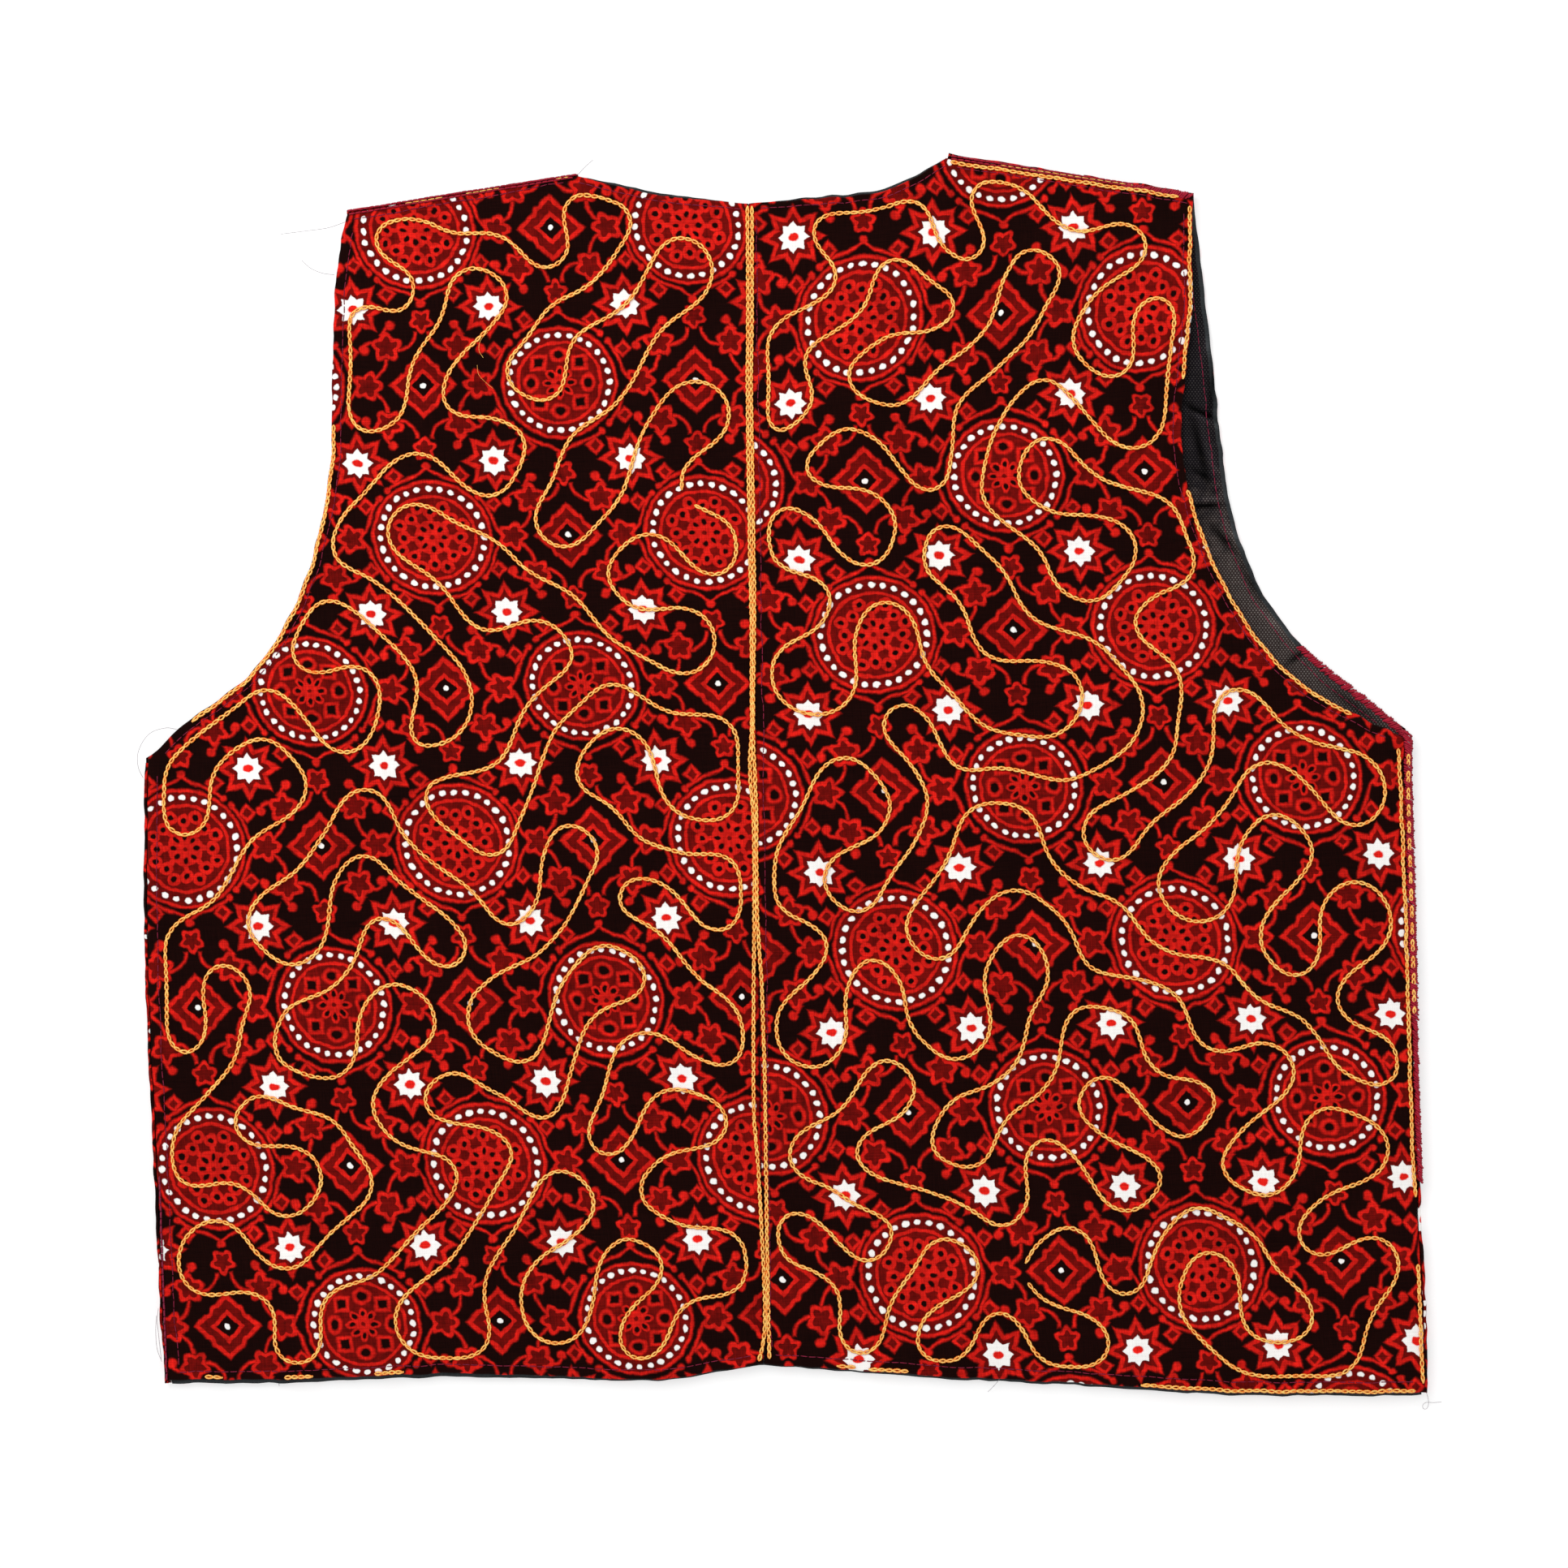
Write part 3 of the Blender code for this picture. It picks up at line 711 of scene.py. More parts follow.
def lining_material(weave_tree):
    """Near-black lining with pale pin dots."""
    material, tree, shader = new_material("dark_lining")
    place = uv_place(tree)
    cloth_x, cloth_y = axes_of(tree, place)
    x, y = cloth_x.fold(PIN_DOT_ACROSS), cloth_y.fold(PIN_DOT_DOWN)
    near = away(x, y).least(away(PIN_DOT_ACROSS - x, PIN_DOT_DOWN - y)) - PIN_DOT_RADIUS
    from_edge, tuck_height = axes_of(tree, uv_place(tree, "rim"))
    past_strip = (LINING_STRIP - from_edge).inside(STRIP_SOFTNESS)
    # The lining is worn paler in patches at random, and painted darker higher up, a painted shade of its
    # folds.
    patches = add_noise(tree, place, WORN_SCALE, WORN_DETAIL)
    lower = (cloth_y - FOLD_SHADE_ABOVE) * (1.0 / FOLD_SHADE_OVER)
    wear_and_fold_shade = Field(tree, patches.outputs["Fac"]) * WORN_CONTRAST - lower
    wear_and_fold_shade = wear_and_fold_shade.math("SUBTRACT", WORN_OFFSET, clamp=True)
    weave = place_group(tree, weave_tree, Pitch=LINING_PITCH)
    tree.links.new(place, weave.inputs["Place"])
    ground = mix_colour(tree, wear_and_fold_shade, LINING_BLACK, LINING_PALER)
    dots = near.inside(PIN_DOT_SOFTNESS) * wear_and_fold_shade.times_plus(PIN_DOT_PALER, PIN_DOT_LEAST)
    colour = mix_colour(tree, dots, ground, PIN_DOT_COLOUR)
    colour = mix_colour(tree, past_strip, LINING_STRIP_COLOUR, colour)
    # Painted shade at the bottoms of the tucks and painted highlight on their ridges, from the crease
    # heights.
    painted_tuck_light = tuck_height.times_plus(TUCK_SHADE, 1.0).most(DARKEST_TUCK)
    shade = Field(tree, weave.outputs["Shade"]) * painted_tuck_light
    tree.links.new(scale_colour(tree, colour, shade), shader.inputs["Base Color"])
    shader.inputs["Roughness"].default_value = LINING_ROUGHNESS
    shader.inputs["Specular IOR Level"].default_value = LINING_SPECULAR
    bump(tree, shader, weave.outputs["Height"], LINING_RELIEF)
    return material


# ---- surfaces and outlines

SAMPLE = 6.0                # distance between the samples of a solid's height
MARGIN = 2                  # samples beyond each side of the solid
JUST_INSIDE = 1.001         # samples from the end of a row that a place may lie at most
RAY_HEIGHT = 100.0          # from which the solid's height is felt
BLUR_ROUNDS = 3
UPPER_LEAN, LOWER_LEAN = 0.3, -0.05     # rise of the normal of an upper and a lower face
CORNER_TURN = math.radians(25)
EDGE_STEP = 2.2             # between the points of an outline
CURVE_STEPS = 8             # between two points of a run, before it gets even steps
LEAST_SIDE = 1.0            # a shorter side of a solid's outline is left out
SPIKE_TURN = math.radians(150)  # and so is a point where it turns back on itself
WAVER, WAVER_LENGTH = 0.65, 6.5  # how far the edges wander, and over what length
WAVER_LEVEL, WAVER_SEED = 0.5, 1        # of the noise that moves them
TINY = 1e-9                 # keeps a length that is divided by above 0

# Waves of cloth that isn't quite even
ClothWave = namedtuple("ClothWave", "length share level")
CLOTH_WAVES = (ClothWave(16.0, 1.0, 3.7), ClothWave(6.0, 0.5, 8.1))

Crease = namedtuple("Crease", "x y half_length half_width turn height")

# Soft ridges and troughs of the back, beside the large folds of the solid
BACK_CREASES = [Crease(*row) for row in (
    (-190.0, 30.0, 55.0, 9.0, 38.0, 0.9),       # from the left underarm
    (-205.0, -10.0, 70.0, 8.0, 60.0, -0.7),
    (205.0, 5.0, 52.0, 9.0, 138.0, 0.9),        # from the right underarm
    (190.0, -40.0, 75.0, 8.0, 122.0, -0.7),
    (-60.0, 205.0, 40.0, 8.0, 160.0, 0.6),      # under the neck
    (45.0, 205.0, 42.0, 8.0, 22.0, 0.6),
    (-95.0, 140.0, 60.0, 12.0, 105.0, -0.8),
    (70.0, 130.0, 65.0, 12.0, 80.0, -0.8),
    (-45.0, -60.0, 90.0, 10.0, 94.0, -0.8),     # beside the centre seam
    (22.0, -50.0, 95.0, 10.0, 88.0, -0.7),
    (-165.0, -190.0, 55.0, 12.0, 80.0, 1.0),    # waves that run to the hem
    (-110.0, -205.0, 50.0, 10.0, 98.0, -0.9),
    (-50.0, -210.0, 45.0, 12.0, 86.0, 0.7),
    (60.0, -210.0, 45.0, 11.0, 94.0, 0.8),
    (150.0, -205.0, 50.0, 12.0, 84.0, -0.8),
    (210.0, -190.0, 50.0, 11.0, 96.0, 0.8),
)]

# Sharp tucks of the lining that shows in the armhole
LINING_CREASES = [Crease(*row) for row in (
    (171.5, 148.5, 8.0, 1.3, -28.0, -1.0),
    (173.0, 145.8, 8.0, 1.2, -26.0, 0.9),
    (172.5, 110.6, 7.5, 1.2, 3.0, -1.0),
    (173.5, 113.0, 7.0, 1.2, 5.0, 0.9),
    (170.5, 134.0, 15.0, 1.8, -77.0, -0.8),
    (174.5, 131.0, 13.0, 1.8, -72.0, 0.7),
    (170.0, 124.0, 5.0, 1.3, -35.0, -0.6),
    (175.5, 160.0, 14.0, 1.6, 84.0, -0.7),
    (174.0, 178.0, 9.0, 1.6, 70.0, 0.6),
    (180.0, 97.0, 9.0, 1.8, -48.0, -0.8),
    (184.0, 99.0, 8.0, 1.6, -52.0, 0.6),
    (191.0, 79.0, 9.0, 1.7, -60.0, -0.6),
    (201.0, 62.0, 8.0, 1.6, -38.0, 0.6),
    (210.5, 48.5, 7.0, 1.5, 35.0, -0.8),
    (234.0, 28.0, 14.0, 2.0, -38.0, -0.6),
)]

SHOWN_LINING = "lining_front_right"
SHOWN_LINING_REACH = 0.55   # it hides the edge of the front under it

# Where the lining that shows is finely meshed
Patch = namedtuple("Patch", "left low right high")
SHOWN_PATCH = Patch(162.0, 14.0, 258.0, 240.0)

# How much further the back lining hangs out along the hem
HemStop = namedtuple("HemStop", "x reach")
LINING_HEM = [HemStop(*row) for row in (
    (-250.0, 0.9), (-130.0, 0.9), (-60.0, 0.0), (20.0, 0.1), (150.0, 0.6))]
HEM_HEIGHT = -238.0         # the edge that is lower than this is the hem

# The hidden fronts lie a little uneven as well, but not at their edges
FRONT_CREASE_SHARE, FRONT_CREASE_START = 0.3, 20.0
FRONT_CREASES = [Crease(*row) for row in (
    (-150.0, -120.0, 90.0, 14.0, 75.0, 0.5),
    (-90.0, 40.0, 80.0, 12.0, 100.0, 0.45),
    (150.0, -110.0, 85.0, 14.0, 104.0, 0.5),
    (95.0, 60.0, 80.0, 12.0, 78.0, 0.45),
    (-200.0, -210.0, 50.0, 12.0, 88.0, 0.4),
    (200.0, -205.0, 50.0, 12.0, 92.0, 0.4),
)]


def crease_heights(creases, x, y):
    """Height that the creases add at each place."""
    total = np.zeros(len(x))
    for crease in creases:
        turn = math.radians(crease.turn)
        dx, dy = x - crease.x, y - crease.y
        lengthwise = (dx * math.cos(turn) + dy * math.sin(turn)) / crease.half_length
        sideways = (dy * math.cos(turn) - dx * math.sin(turn)) / crease.half_width
        total += crease.height * np.exp(-lengthwise ** 2 - sideways ** 2)
    return total


def node_polygons(node):
    """Corners of a solid, joined where they meet, in millimetres, with its faces and their lean."""
    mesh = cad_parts[node].data
    places, points, faces = {}, [], []
    for polygon in mesh.polygons:
        face = []
        for index in polygon.vertices:
            point = tuple(round(value / MM, 3) for value in mesh.vertices[index].co)
            if point not in places:
                places[point] = len(points)
                points.append(point)
            face.append(places[point])
        faces.append((tuple(face), polygon.normal.z))
    return points, faces


def cloth_wave(x, y):
    """Height of uneven cloth at a place, against its unevenness."""
    return sum(wave.share * noise.noise((x / wave.length, y / wave.length, wave.level))
               for wave in CLOTH_WAVES)


class Surface:
    """Smooth height of a solid's upper face at any place, in millimetres."""

    def __init__(self, node, creases=(), unevenness=0.0):
        points, faces = node_polygons(node)
        tree = BVHTree.FromPolygons([Vector(point) for point in points], [face for face, _ in faces])
        low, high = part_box(node)
        self.creases, self.unevenness = creases, unevenness
        self.start = np.array([low.x, low.y]) / MM - MARGIN * SAMPLE
        across = int((high.x - low.x) / MM / SAMPLE) + 2 * MARGIN + 1
        down = int((high.y - low.y) / MM / SAMPLE) + 2 * MARGIN + 1
        heights = np.full((down, across), np.nan)
        for row in range(down):
            for column in range(across):
                place = (self.start[0] + column * SAMPLE, self.start[1] + row * SAMPLE, RAY_HEIGHT)
                hit = tree.ray_cast(Vector(place), Vector((0.0, 0.0, -1.0)))[0]
                if hit is not None:
                    heights[row, column] = hit.z
        self.heights = self.spread(heights)

    @staticmethod
    def spread(heights):
        """Fills the samples outside the piece from their neighbours and smooths all of them."""
        while np.isnan(heights).any():
            padded = np.pad(heights, 1, constant_values=np.nan)
            rows, columns = heights.shape
            near = np.stack([padded[1 + dy:1 + dy + rows, 1 + dx:1 + dx + columns]
                             for dy in (-1, 0, 1) for dx in (-1, 0, 1)])
            known = ~np.isnan(near)
            sums, counts = np.where(known, near, 0.0).sum(0), known.sum(0)
            filled = np.where(counts > 0, sums / np.maximum(counts, 1), np.nan)
            heights = np.where(np.isnan(heights), filled, heights)
        for _ in range(BLUR_ROUNDS):
            for axis in (0, 1):
                widths = [(1, 1) if axis == side else (0, 0) for side in (0, 1)]
                padded = np.pad(heights, widths, mode="edge")
                before = np.take(padded, range(heights.shape[axis]), axis)
                after = np.take(padded, range(2, heights.shape[axis] + 2), axis)
                heights = (before + 2 * heights + after) / 4
        return heights

    def at(self, places):
        """Heights at an array of (x, y) places."""
        places = np.asarray(places, float).reshape(-1, 2)
        grid = (places - self.start) / SAMPLE
        limit = np.array(self.heights.shape[::-1]) - JUST_INSIDE
        grid = np.clip(grid, 0.0, limit)
        column, row = grid.astype(int).T
        right, up = (grid - grid.astype(int)).T
        values = self.heights
        low = values[row, column] * (1 - right) + values[row, column + 1] * right
        high = values[row + 1, column] * (1 - right) + values[row + 1, column + 1] * right
        height = low * (1 - up) + high * up
        height += crease_heights(self.creases, *places.T)
        if self.unevenness:
            height += self.unevenness * np.array([cloth_wave(x, y) for x, y in places])
        return height


def outline(node, from_below=False):
    """The loop round a solid's upper or lower faces, anticlockwise from above, in millimetres."""
    points, faces = node_polygons(node)
    if from_below:
        facing = [face[::-1] for face, lean in faces if lean < LOWER_LEAN]
    else:
        facing = [face for face, lean in faces if lean > UPPER_LEAN]
    sides = {(face[i - 1], face[i]) for face in facing for i in range(len(face))}
    following = {a: b for a, b in sides if (b, a) not in sides}
    loops = []
    while following:
        start, loop = next(iter(following)), []
        while start in following:
            loop.append(start)
            start = following.pop(start)
        loops.append(loop)
    loop = [Vector(points[index]) for index in max(loops, key=len)]
    loop = [point for index, point in enumerate(loop) if turn_at(loop, index) < SPIKE_TURN]
    return [point for index, point in enumerate(loop)
            if (point - loop[index - 1]).xy.length > LEAST_SIDE]


def turn_at(loop, index):
    """How sharply a loop turns at one of its points."""
    before = (loop[index] - loop[index - 1]).xy
    after = (loop[(index + 1) % len(loop)] - loop[index]).xy
    return abs(before.angle_signed(after, 0.0))


def smooth_run(points, step_length=EDGE_STEP):
    """A run of points as a smooth curve in even steps."""
    fine = []
    for index in range(len(points) - 1):
        start, end = points[index], points[index + 1]
        before = points[index - 1] if index else 2 * start - end
        after = points[index + 2] if index + 2 < len(points) else 2 * end - start
        length = (end - start).length
        slope_in = (end - before) / max((end - before).length, TINY) * length
        slope_out = (after - start) / max((after - start).length, TINY) * length
        for step in range(CURVE_STEPS):
            share = step / CURVE_STEPS
            square, cube = share ** 2, share ** 3
            fine.append((2 * cube - 3 * square + 1) * start + (cube - 2 * square + share) * slope_in
                        + (3 * square - 2 * cube) * end + (cube - square) * slope_out)
    fine.append(points[-1])
    return even_steps(np.array(fine), step_length)


def even_steps(points, step):
    """Points along a line in steps as close to the given one as fit its length."""
    points = np.asarray(points, float)
    lengths = np.linalg.norm(np.diff(points, axis=0), axis=1)
    along = np.concatenate(([0.0], np.cumsum(lengths)))
    count = max(1, round(along[-1] / step))
    stops = np.linspace(0.0, along[-1], count + 1)
    return np.stack([np.interp(stops, along, points[:, axis]) for axis in range(points.shape[1])], 1)


def wavered(points):
    """Points of an edge moved a little, the same way in all pieces that lie on each other."""
    noise.seed_set(WAVER_SEED)
    shifts = [noise.noise_vector((x / WAVER_LENGTH, y / WAVER_LENGTH, WAVER_LEVEL)) for x, y, _ in points]
    return points + np.array([(shift.x * WAVER, shift.y * WAVER, 0.0) for shift in shifts])


def edge_loop(node, from_below=False):
    """A piece's outline, smooth between its sharp corners, anticlockwise from above."""
    loop = outline(node, from_below)
    corners = [index for index in range(len(loop)) if turn_at(loop, index) > CORNER_TURN]
    runs = []
    for start, end in zip(corners, corners[1:] + [corners[0] + len(loop)]):
        run = [loop[index % len(loop)] for index in range(start, end + 1)]
        runs.append(wavered(smooth_run(run))[:-1])
    return np.concatenate(runs)


def distance_to(loop, places):
    """Distance of each place to a closed loop of points, whether it is inside, and the way to it."""
    best = np.full(len(places), np.inf)
    ways = np.zeros((len(places), 2))
    crossings = np.zeros(len(places), int)
    for a, b in zip(loop, np.roll(loop, -1, axis=0)):
        side = b - a
        share = np.clip(((places - a) @ side) / max(side @ side, TINY), 0.0, 1.0)
        offsets = places - a - share[:, None] * side
        distances = np.linalg.norm(offsets, axis=1)
        nearer = distances < best
        best[nearer] = distances[nearer]
        ways[nearer] = offsets[nearer] / np.maximum(distances[nearer], TINY)[:, None]
        if a[1] != b[1]:
            spans = (a[1] > places[:, 1]) != (b[1] > places[:, 1])
            crossed_x = a[0] + (places[:, 1] - a[1]) / (b[1] - a[1]) * side[0]
            crossings += spans & (places[:, 0] < crossed_x)
    return best, crossings % 2 == 1, ways


# ---- cloth

# Where the print lies on each half of the back, in millimetres. One step is half a repeat. The
# printing blocks aren't set quite true: each row says how far the print is out at a height.
PrintLay = namedtuple("PrintLay", "start across down rows")
BlockRow = namedtuple("BlockRow", "y right up")

PRINT_LAYS = {
    "left": PrintLay(start=(-153.7, 225.4), across=(55.9, 1.1), down=(5.0, -63.8), rows=[
        BlockRow(-195.0, -1.0, 3.5), BlockRow(-60.0, 2.0, -1.0), BlockRow(5.0, 1.0, -2.0),
        BlockRow(130.0, 2.0, 1.5), BlockRow(190.0, -1.0, 2.0)]),
    "right": PrintLay(start=(29.0, 188.2), across=(57.4, 1.9), down=(4.3, -65.5), rows=[
        BlockRow(-240.0, -1.5, 2.0), BlockRow(-170.0, 0.0, 0.0), BlockRow(-70.0, 1.5, -2.0),
        BlockRow(30.0, 2.0, -1.0), BlockRow(120.0, 1.0, 2.0), BlockRow(165.0, 0.5, 2.0),
        BlockRow(223.0, -5.0, -1.0)]),
}

EdgeStop = namedtuple("EdgeStop", "inset drop")

# The turned-in edge of the cloth rounds down to its rim
TURNED_EDGE = [EdgeStop(*row) for row in (
    (0.0, 1.0), (0.12, 0.55), (0.4, 0.22), (0.9, 0.05), (1.6, 0.0))]
LINING_EDGE = [EdgeStop(*row) for row in (
    (0.0, 1.0), (0.4, 0.75), (1.0, 0.42), (1.8, 0.12), (2.8, 0.0))]

# The fronts are finely meshed where they turn up at a fold
FOLD_STOPS = [EdgeStop(*row) for row in (
    (0.0, 0.0), (0.5, 0.0), (1.0, 0.0), (1.7, 0.0), (2.6, 0.0))]
ROW_SHARE = 0.87            # distance between rows of even triangles, against their width
EDGE_CLEARANCE = 0.45       # of the even triangles from the edge's rings, against their width
INSIDE_ONLY, JOIN_WITHIN = 1, 1e-4      # how the triangles are cut to the loop

FRONT_LIFT = 0.45           # the hidden stitches of the fronts lie under them, on the floor
FOLD_RISE = 1.7             # of the front's printed face towards a fold
FOLD_WIDTH = 2.6
FOLD_DEPTH = 0.7            # height that a solid's outline has at least where it is folded

# The front's cloth stands up at its folds and turns in over the seam with the back: a section
# through that wall, from its printed face to its inner face, as insets and heights
WallStop = namedtuple("WallStop", "inset height")

FOLD_WALL = [WallStop(*row) for row in (
    (0.0, 2.1), (0.0, 3.4), (0.06, 4.2), (0.35, 4.8), (0.85, 5.1), (1.3, 5.0),
    (1.3, 4.6), (0.9, 4.65), (0.62, 4.4), (0.5, 3.9), (0.45, 3.3), (0.45, 2.3))]


def print_place(lay, x, y):
    """Place in the print's repeat of a place on the vest."""
    determinant = lay.across[0] * lay.down[1] - lay.across[1] * lay.down[0]
    heights = [row.y for row in lay.rows]
    dx = x - lay.start[0] + np.interp(y, heights, [row.right for row in lay.rows])
    dy = y - lay.start[1] + np.interp(y, heights, [row.up for row in lay.rows])
    steps_across = (dx * lay.down[1] - dy * lay.down[0]) / determinant
    steps_down = (dy * lay.across[0] - dx * lay.across[1]) / determinant
    return steps_across * HALF_ACROSS, steps_down * HALF_DOWN


def inset_points(loop, inset):
    """The loop's points moved to its inside."""
    before, after = loop - np.roll(loop, 1, axis=0), np.roll(loop, -1, axis=0) - loop
    before = before / np.linalg.norm(before, axis=1)[:, None]
    after = after / np.linalg.norm(after, axis=1)[:, None]
    ways = before + after
    ways /= np.maximum(np.linalg.norm(ways, axis=1)[:, None], TINY)
    inward = np.stack([-ways[:, 1], ways[:, 0]], 1)
    return loop + inward * inset


def even_grid(low, high, spacing):
    """Places in rows that make even triangles."""
    grid = []
    for row in range(int((high[1] - low[1]) / (spacing * ROW_SHARE)) + 1):
        xs = np.arange(low[0] + (spacing / 2 if row % 2 else 0.0), high[0], spacing)
        grid.append(np.stack([xs, np.full(len(xs), low[1] + row * spacing * ROW_SHARE)], 1))
    return np.concatenate(grid)


def triangulated(loop, stops, spacing, patch=None, patch_spacing=None):
    """Even triangles that fill a loop, with rings of points near its edge and finer ones in a patch."""
    rings = [inset_points(loop, stop.inset) for stop in stops[1:]]
    grid = even_grid(loop.min(0), loop.max(0), spacing)
    clearance = np.full(len(grid), spacing)
    if patch:
        corners = np.array(patch).reshape(2, 2)
        outside = ((grid < corners[0]) | (grid > corners[1])).any(1)
        finer = even_grid(*corners, patch_spacing)
        grid = np.concatenate([grid[outside], finer])
        clearance = np.concatenate([clearance[outside], np.full(len(finer), patch_spacing)])
    away_from_edge, inside, _ = distance_to(loop, grid)
    grid = grid[inside & (away_from_edge > stops[-1].inset + clearance * EDGE_CLEARANCE)]
    places = np.concatenate([loop, *rings, grid])
    border = [(index, (index + 1) % len(loop)) for index in range(len(loop))]
    found = delaunay_2d_cdt([Vector(place) for place in places], border, [], INSIDE_ONLY, JOIN_WITHIN)
    return np.array(found[0]), [tuple(face) for face in found[2] if len(face) == 3]


def mesh_of(name, points, faces, layers):
    """A mesh from points in millimetres and its UV maps, given as a place for each point."""
    mesh = bpy.data.meshes.new(name)
    mesh.from_pydata(np.asarray(points) * MM, [], faces)
    corners = np.empty(len(mesh.loops), int)
    mesh.loops.foreach_get("vertex_index", corners)
    for layer, places in layers.items():
        mesh.uv_layers.new(name=layer).data.foreach_set("uv", np.asarray(places)[corners].ravel())
    return mesh


def two_sided(places, faces, heights, thickness, below):
    """Points and faces of a thin shell: its outer face at the heights and a rim all round."""
    count = len(places)
    sign = 1.0 if not below else -1.0
    outer = np.column_stack([places, heights])
    inner = np.column_stack([places, heights - sign * thickness])
    sides = {(face[i - 1], face[i]) for face in faces for i in range(3)}
    rim = [(a, b) for a, b in sides if (b, a) not in sides]
    walls = [(b, a, a + count, b + count) for a, b in sorted(rim)]
    under = [tuple(index + count for index in face[::-1]) for face in faces]
    every = list(faces) + under + walls
    if below:
        every = [face[::-1] for face in every]
    return np.concatenate([outer, inner]), every


BACK_UNEVENNESS, LINING_UNEVENNESS = 0.22, 0.1
UNEVEN_CLOTH = {
    "back_left": (BACK_CREASES, BACK_UNEVENNESS),
    "back_right": (BACK_CREASES, BACK_UNEVENNESS),
    SHOWN_LINING: (LINING_CREASES, LINING_UNEVENNESS),
}
SURFACES = {}               # the outer face of each piece of cloth, once it is needed


def node_surface(node):
    """Outer face of a piece of cloth."""
    if node not in SURFACES:
        creases, unevenness = UNEVEN_CLOTH.get(node, ((), 0.0))
        SURFACES[node] = Surface(node, creases, unevenness)
    return SURFACES[node]


def back_surface(side):
    """Outer face of one half of the back."""
    return node_surface(f"back_{side}")


def edge_drops(edge, stops):
    """How far the cloth lies below its outer face at each distance from its edge."""
    return np.interp(edge, [stop.inset for stop in stops], [stop.drop for stop in stops])


def make_back_half(side, settings, material):
    """One printed half of the back."""
    node = f"back_{side}"
    loop = edge_loop(node)[:, :2]
    places, faces = triangulated(loop, TURNED_EDGE, settings.back_mesh / MM)
    edge = distance_to(loop, places)[0]
    heights = back_surface(side).at(places) - edge_drops(edge, TURNED_EDGE)
    points, every = two_sided(places, faces, heights, settings.thickness / MM, below=False)
    cloth = np.column_stack(print_place(PRINT_LAYS[side], points[:, 0], points[:, 1]))
    mesh = mesh_of(f"cloth_{node}", points, every, {"cloth": cloth})
    return new_piece(f"cloth_{node}", mesh, material, [node])


def fold_wall(loop, folded):
    """The standing cloth at the folds of a front: its points, faces and places on the flat cloth."""
    insets = np.array([stop.inset for stop in FOLD_WALL])
    rises = np.array([stop.height for stop in FOLD_WALL]) - FOLD_WALL[0].height
    outward = loop - inset_points(loop, 1.0)
    kept = [index for index in range(len(loop)) if folded[index] > 0.0]
    rings, spread_out = [], []
    for index in kept:
        places = loop[index] - outward[index] * insets[:, None]
        heights = FOLD_WALL[0].height + rises * folded[index]
        rings.append(np.column_stack([places, heights]))
        spread_out.append(loop[index] + outward[index] * (rises + insets)[:, None])
    count, faces = len(FOLD_WALL), []
    order = {index: rank for rank, index in enumerate(kept)}
    for index, rank in order.items():
        after, before = order.get((index + 1) % len(loop)), order.get((index - 1) % len(loop))
        ring = [rank * count + step for step in range(count)]
        if after is None:
            faces.append(tuple(ring))
            continue
        if before is None:
            faces.append(tuple(reversed(ring)))
        for step in range(count):
            following = (step + 1) % count
            beyond = after * count
            faces.append((ring[step], beyond + step, beyond + following, ring[following]))
    return np.concatenate(rings), faces, np.concatenate(spread_out)


def make_front(side, settings, material):
    """One printed front: it lies face down and turns up at its side and shoulder folds."""
    node = f"front_{side}"
    rim = edge_loop(node, from_below=True)
    loop, folded = rim[:, :2], np.clip(rim[:, 2] / FOLD_DEPTH, 0.0, 1.0)
    places, faces = triangulated(loop, FOLD_STOPS, settings.hidden_mesh / MM)
    edge = distance_to(loop, places)[0]
    nearest = np.array([np.argmin(((loop - place) ** 2).sum(1)) for place in places])
    share = np.clip(1.0 - edge / FOLD_WIDTH, 0.0, 1.0)
    heights = FRONT_LIFT + folded[nearest] * FOLD_RISE * (1.0 - np.sqrt(1.0 - share ** 2))
    waves = np.abs(crease_heights(FRONT_CREASES, *places.T)) * FRONT_CREASE_SHARE
    heights += waves * np.clip(edge / FRONT_CREASE_START, 0.0, 1.0)
    sheet, sheet_faces = two_sided(places, faces, heights, settings.thickness / MM, below=True)
    wall, wall_faces, spread_out = fold_wall(loop, folded)
    points = np.concatenate([sheet, wall])
    every = sheet_faces + [tuple(index + len(sheet) for index in face) for face in wall_faces]
    flat = np.concatenate([sheet[:, :2], spread_out])
    cloth = np.column_stack(print_place(PRINT_LAYS[side], -flat[:, 0], flat[:, 1]))
    mesh = mesh_of(f"cloth_{node}", points, every, {"cloth": cloth})
    return new_piece(f"cloth_{node}", mesh, material, [node])


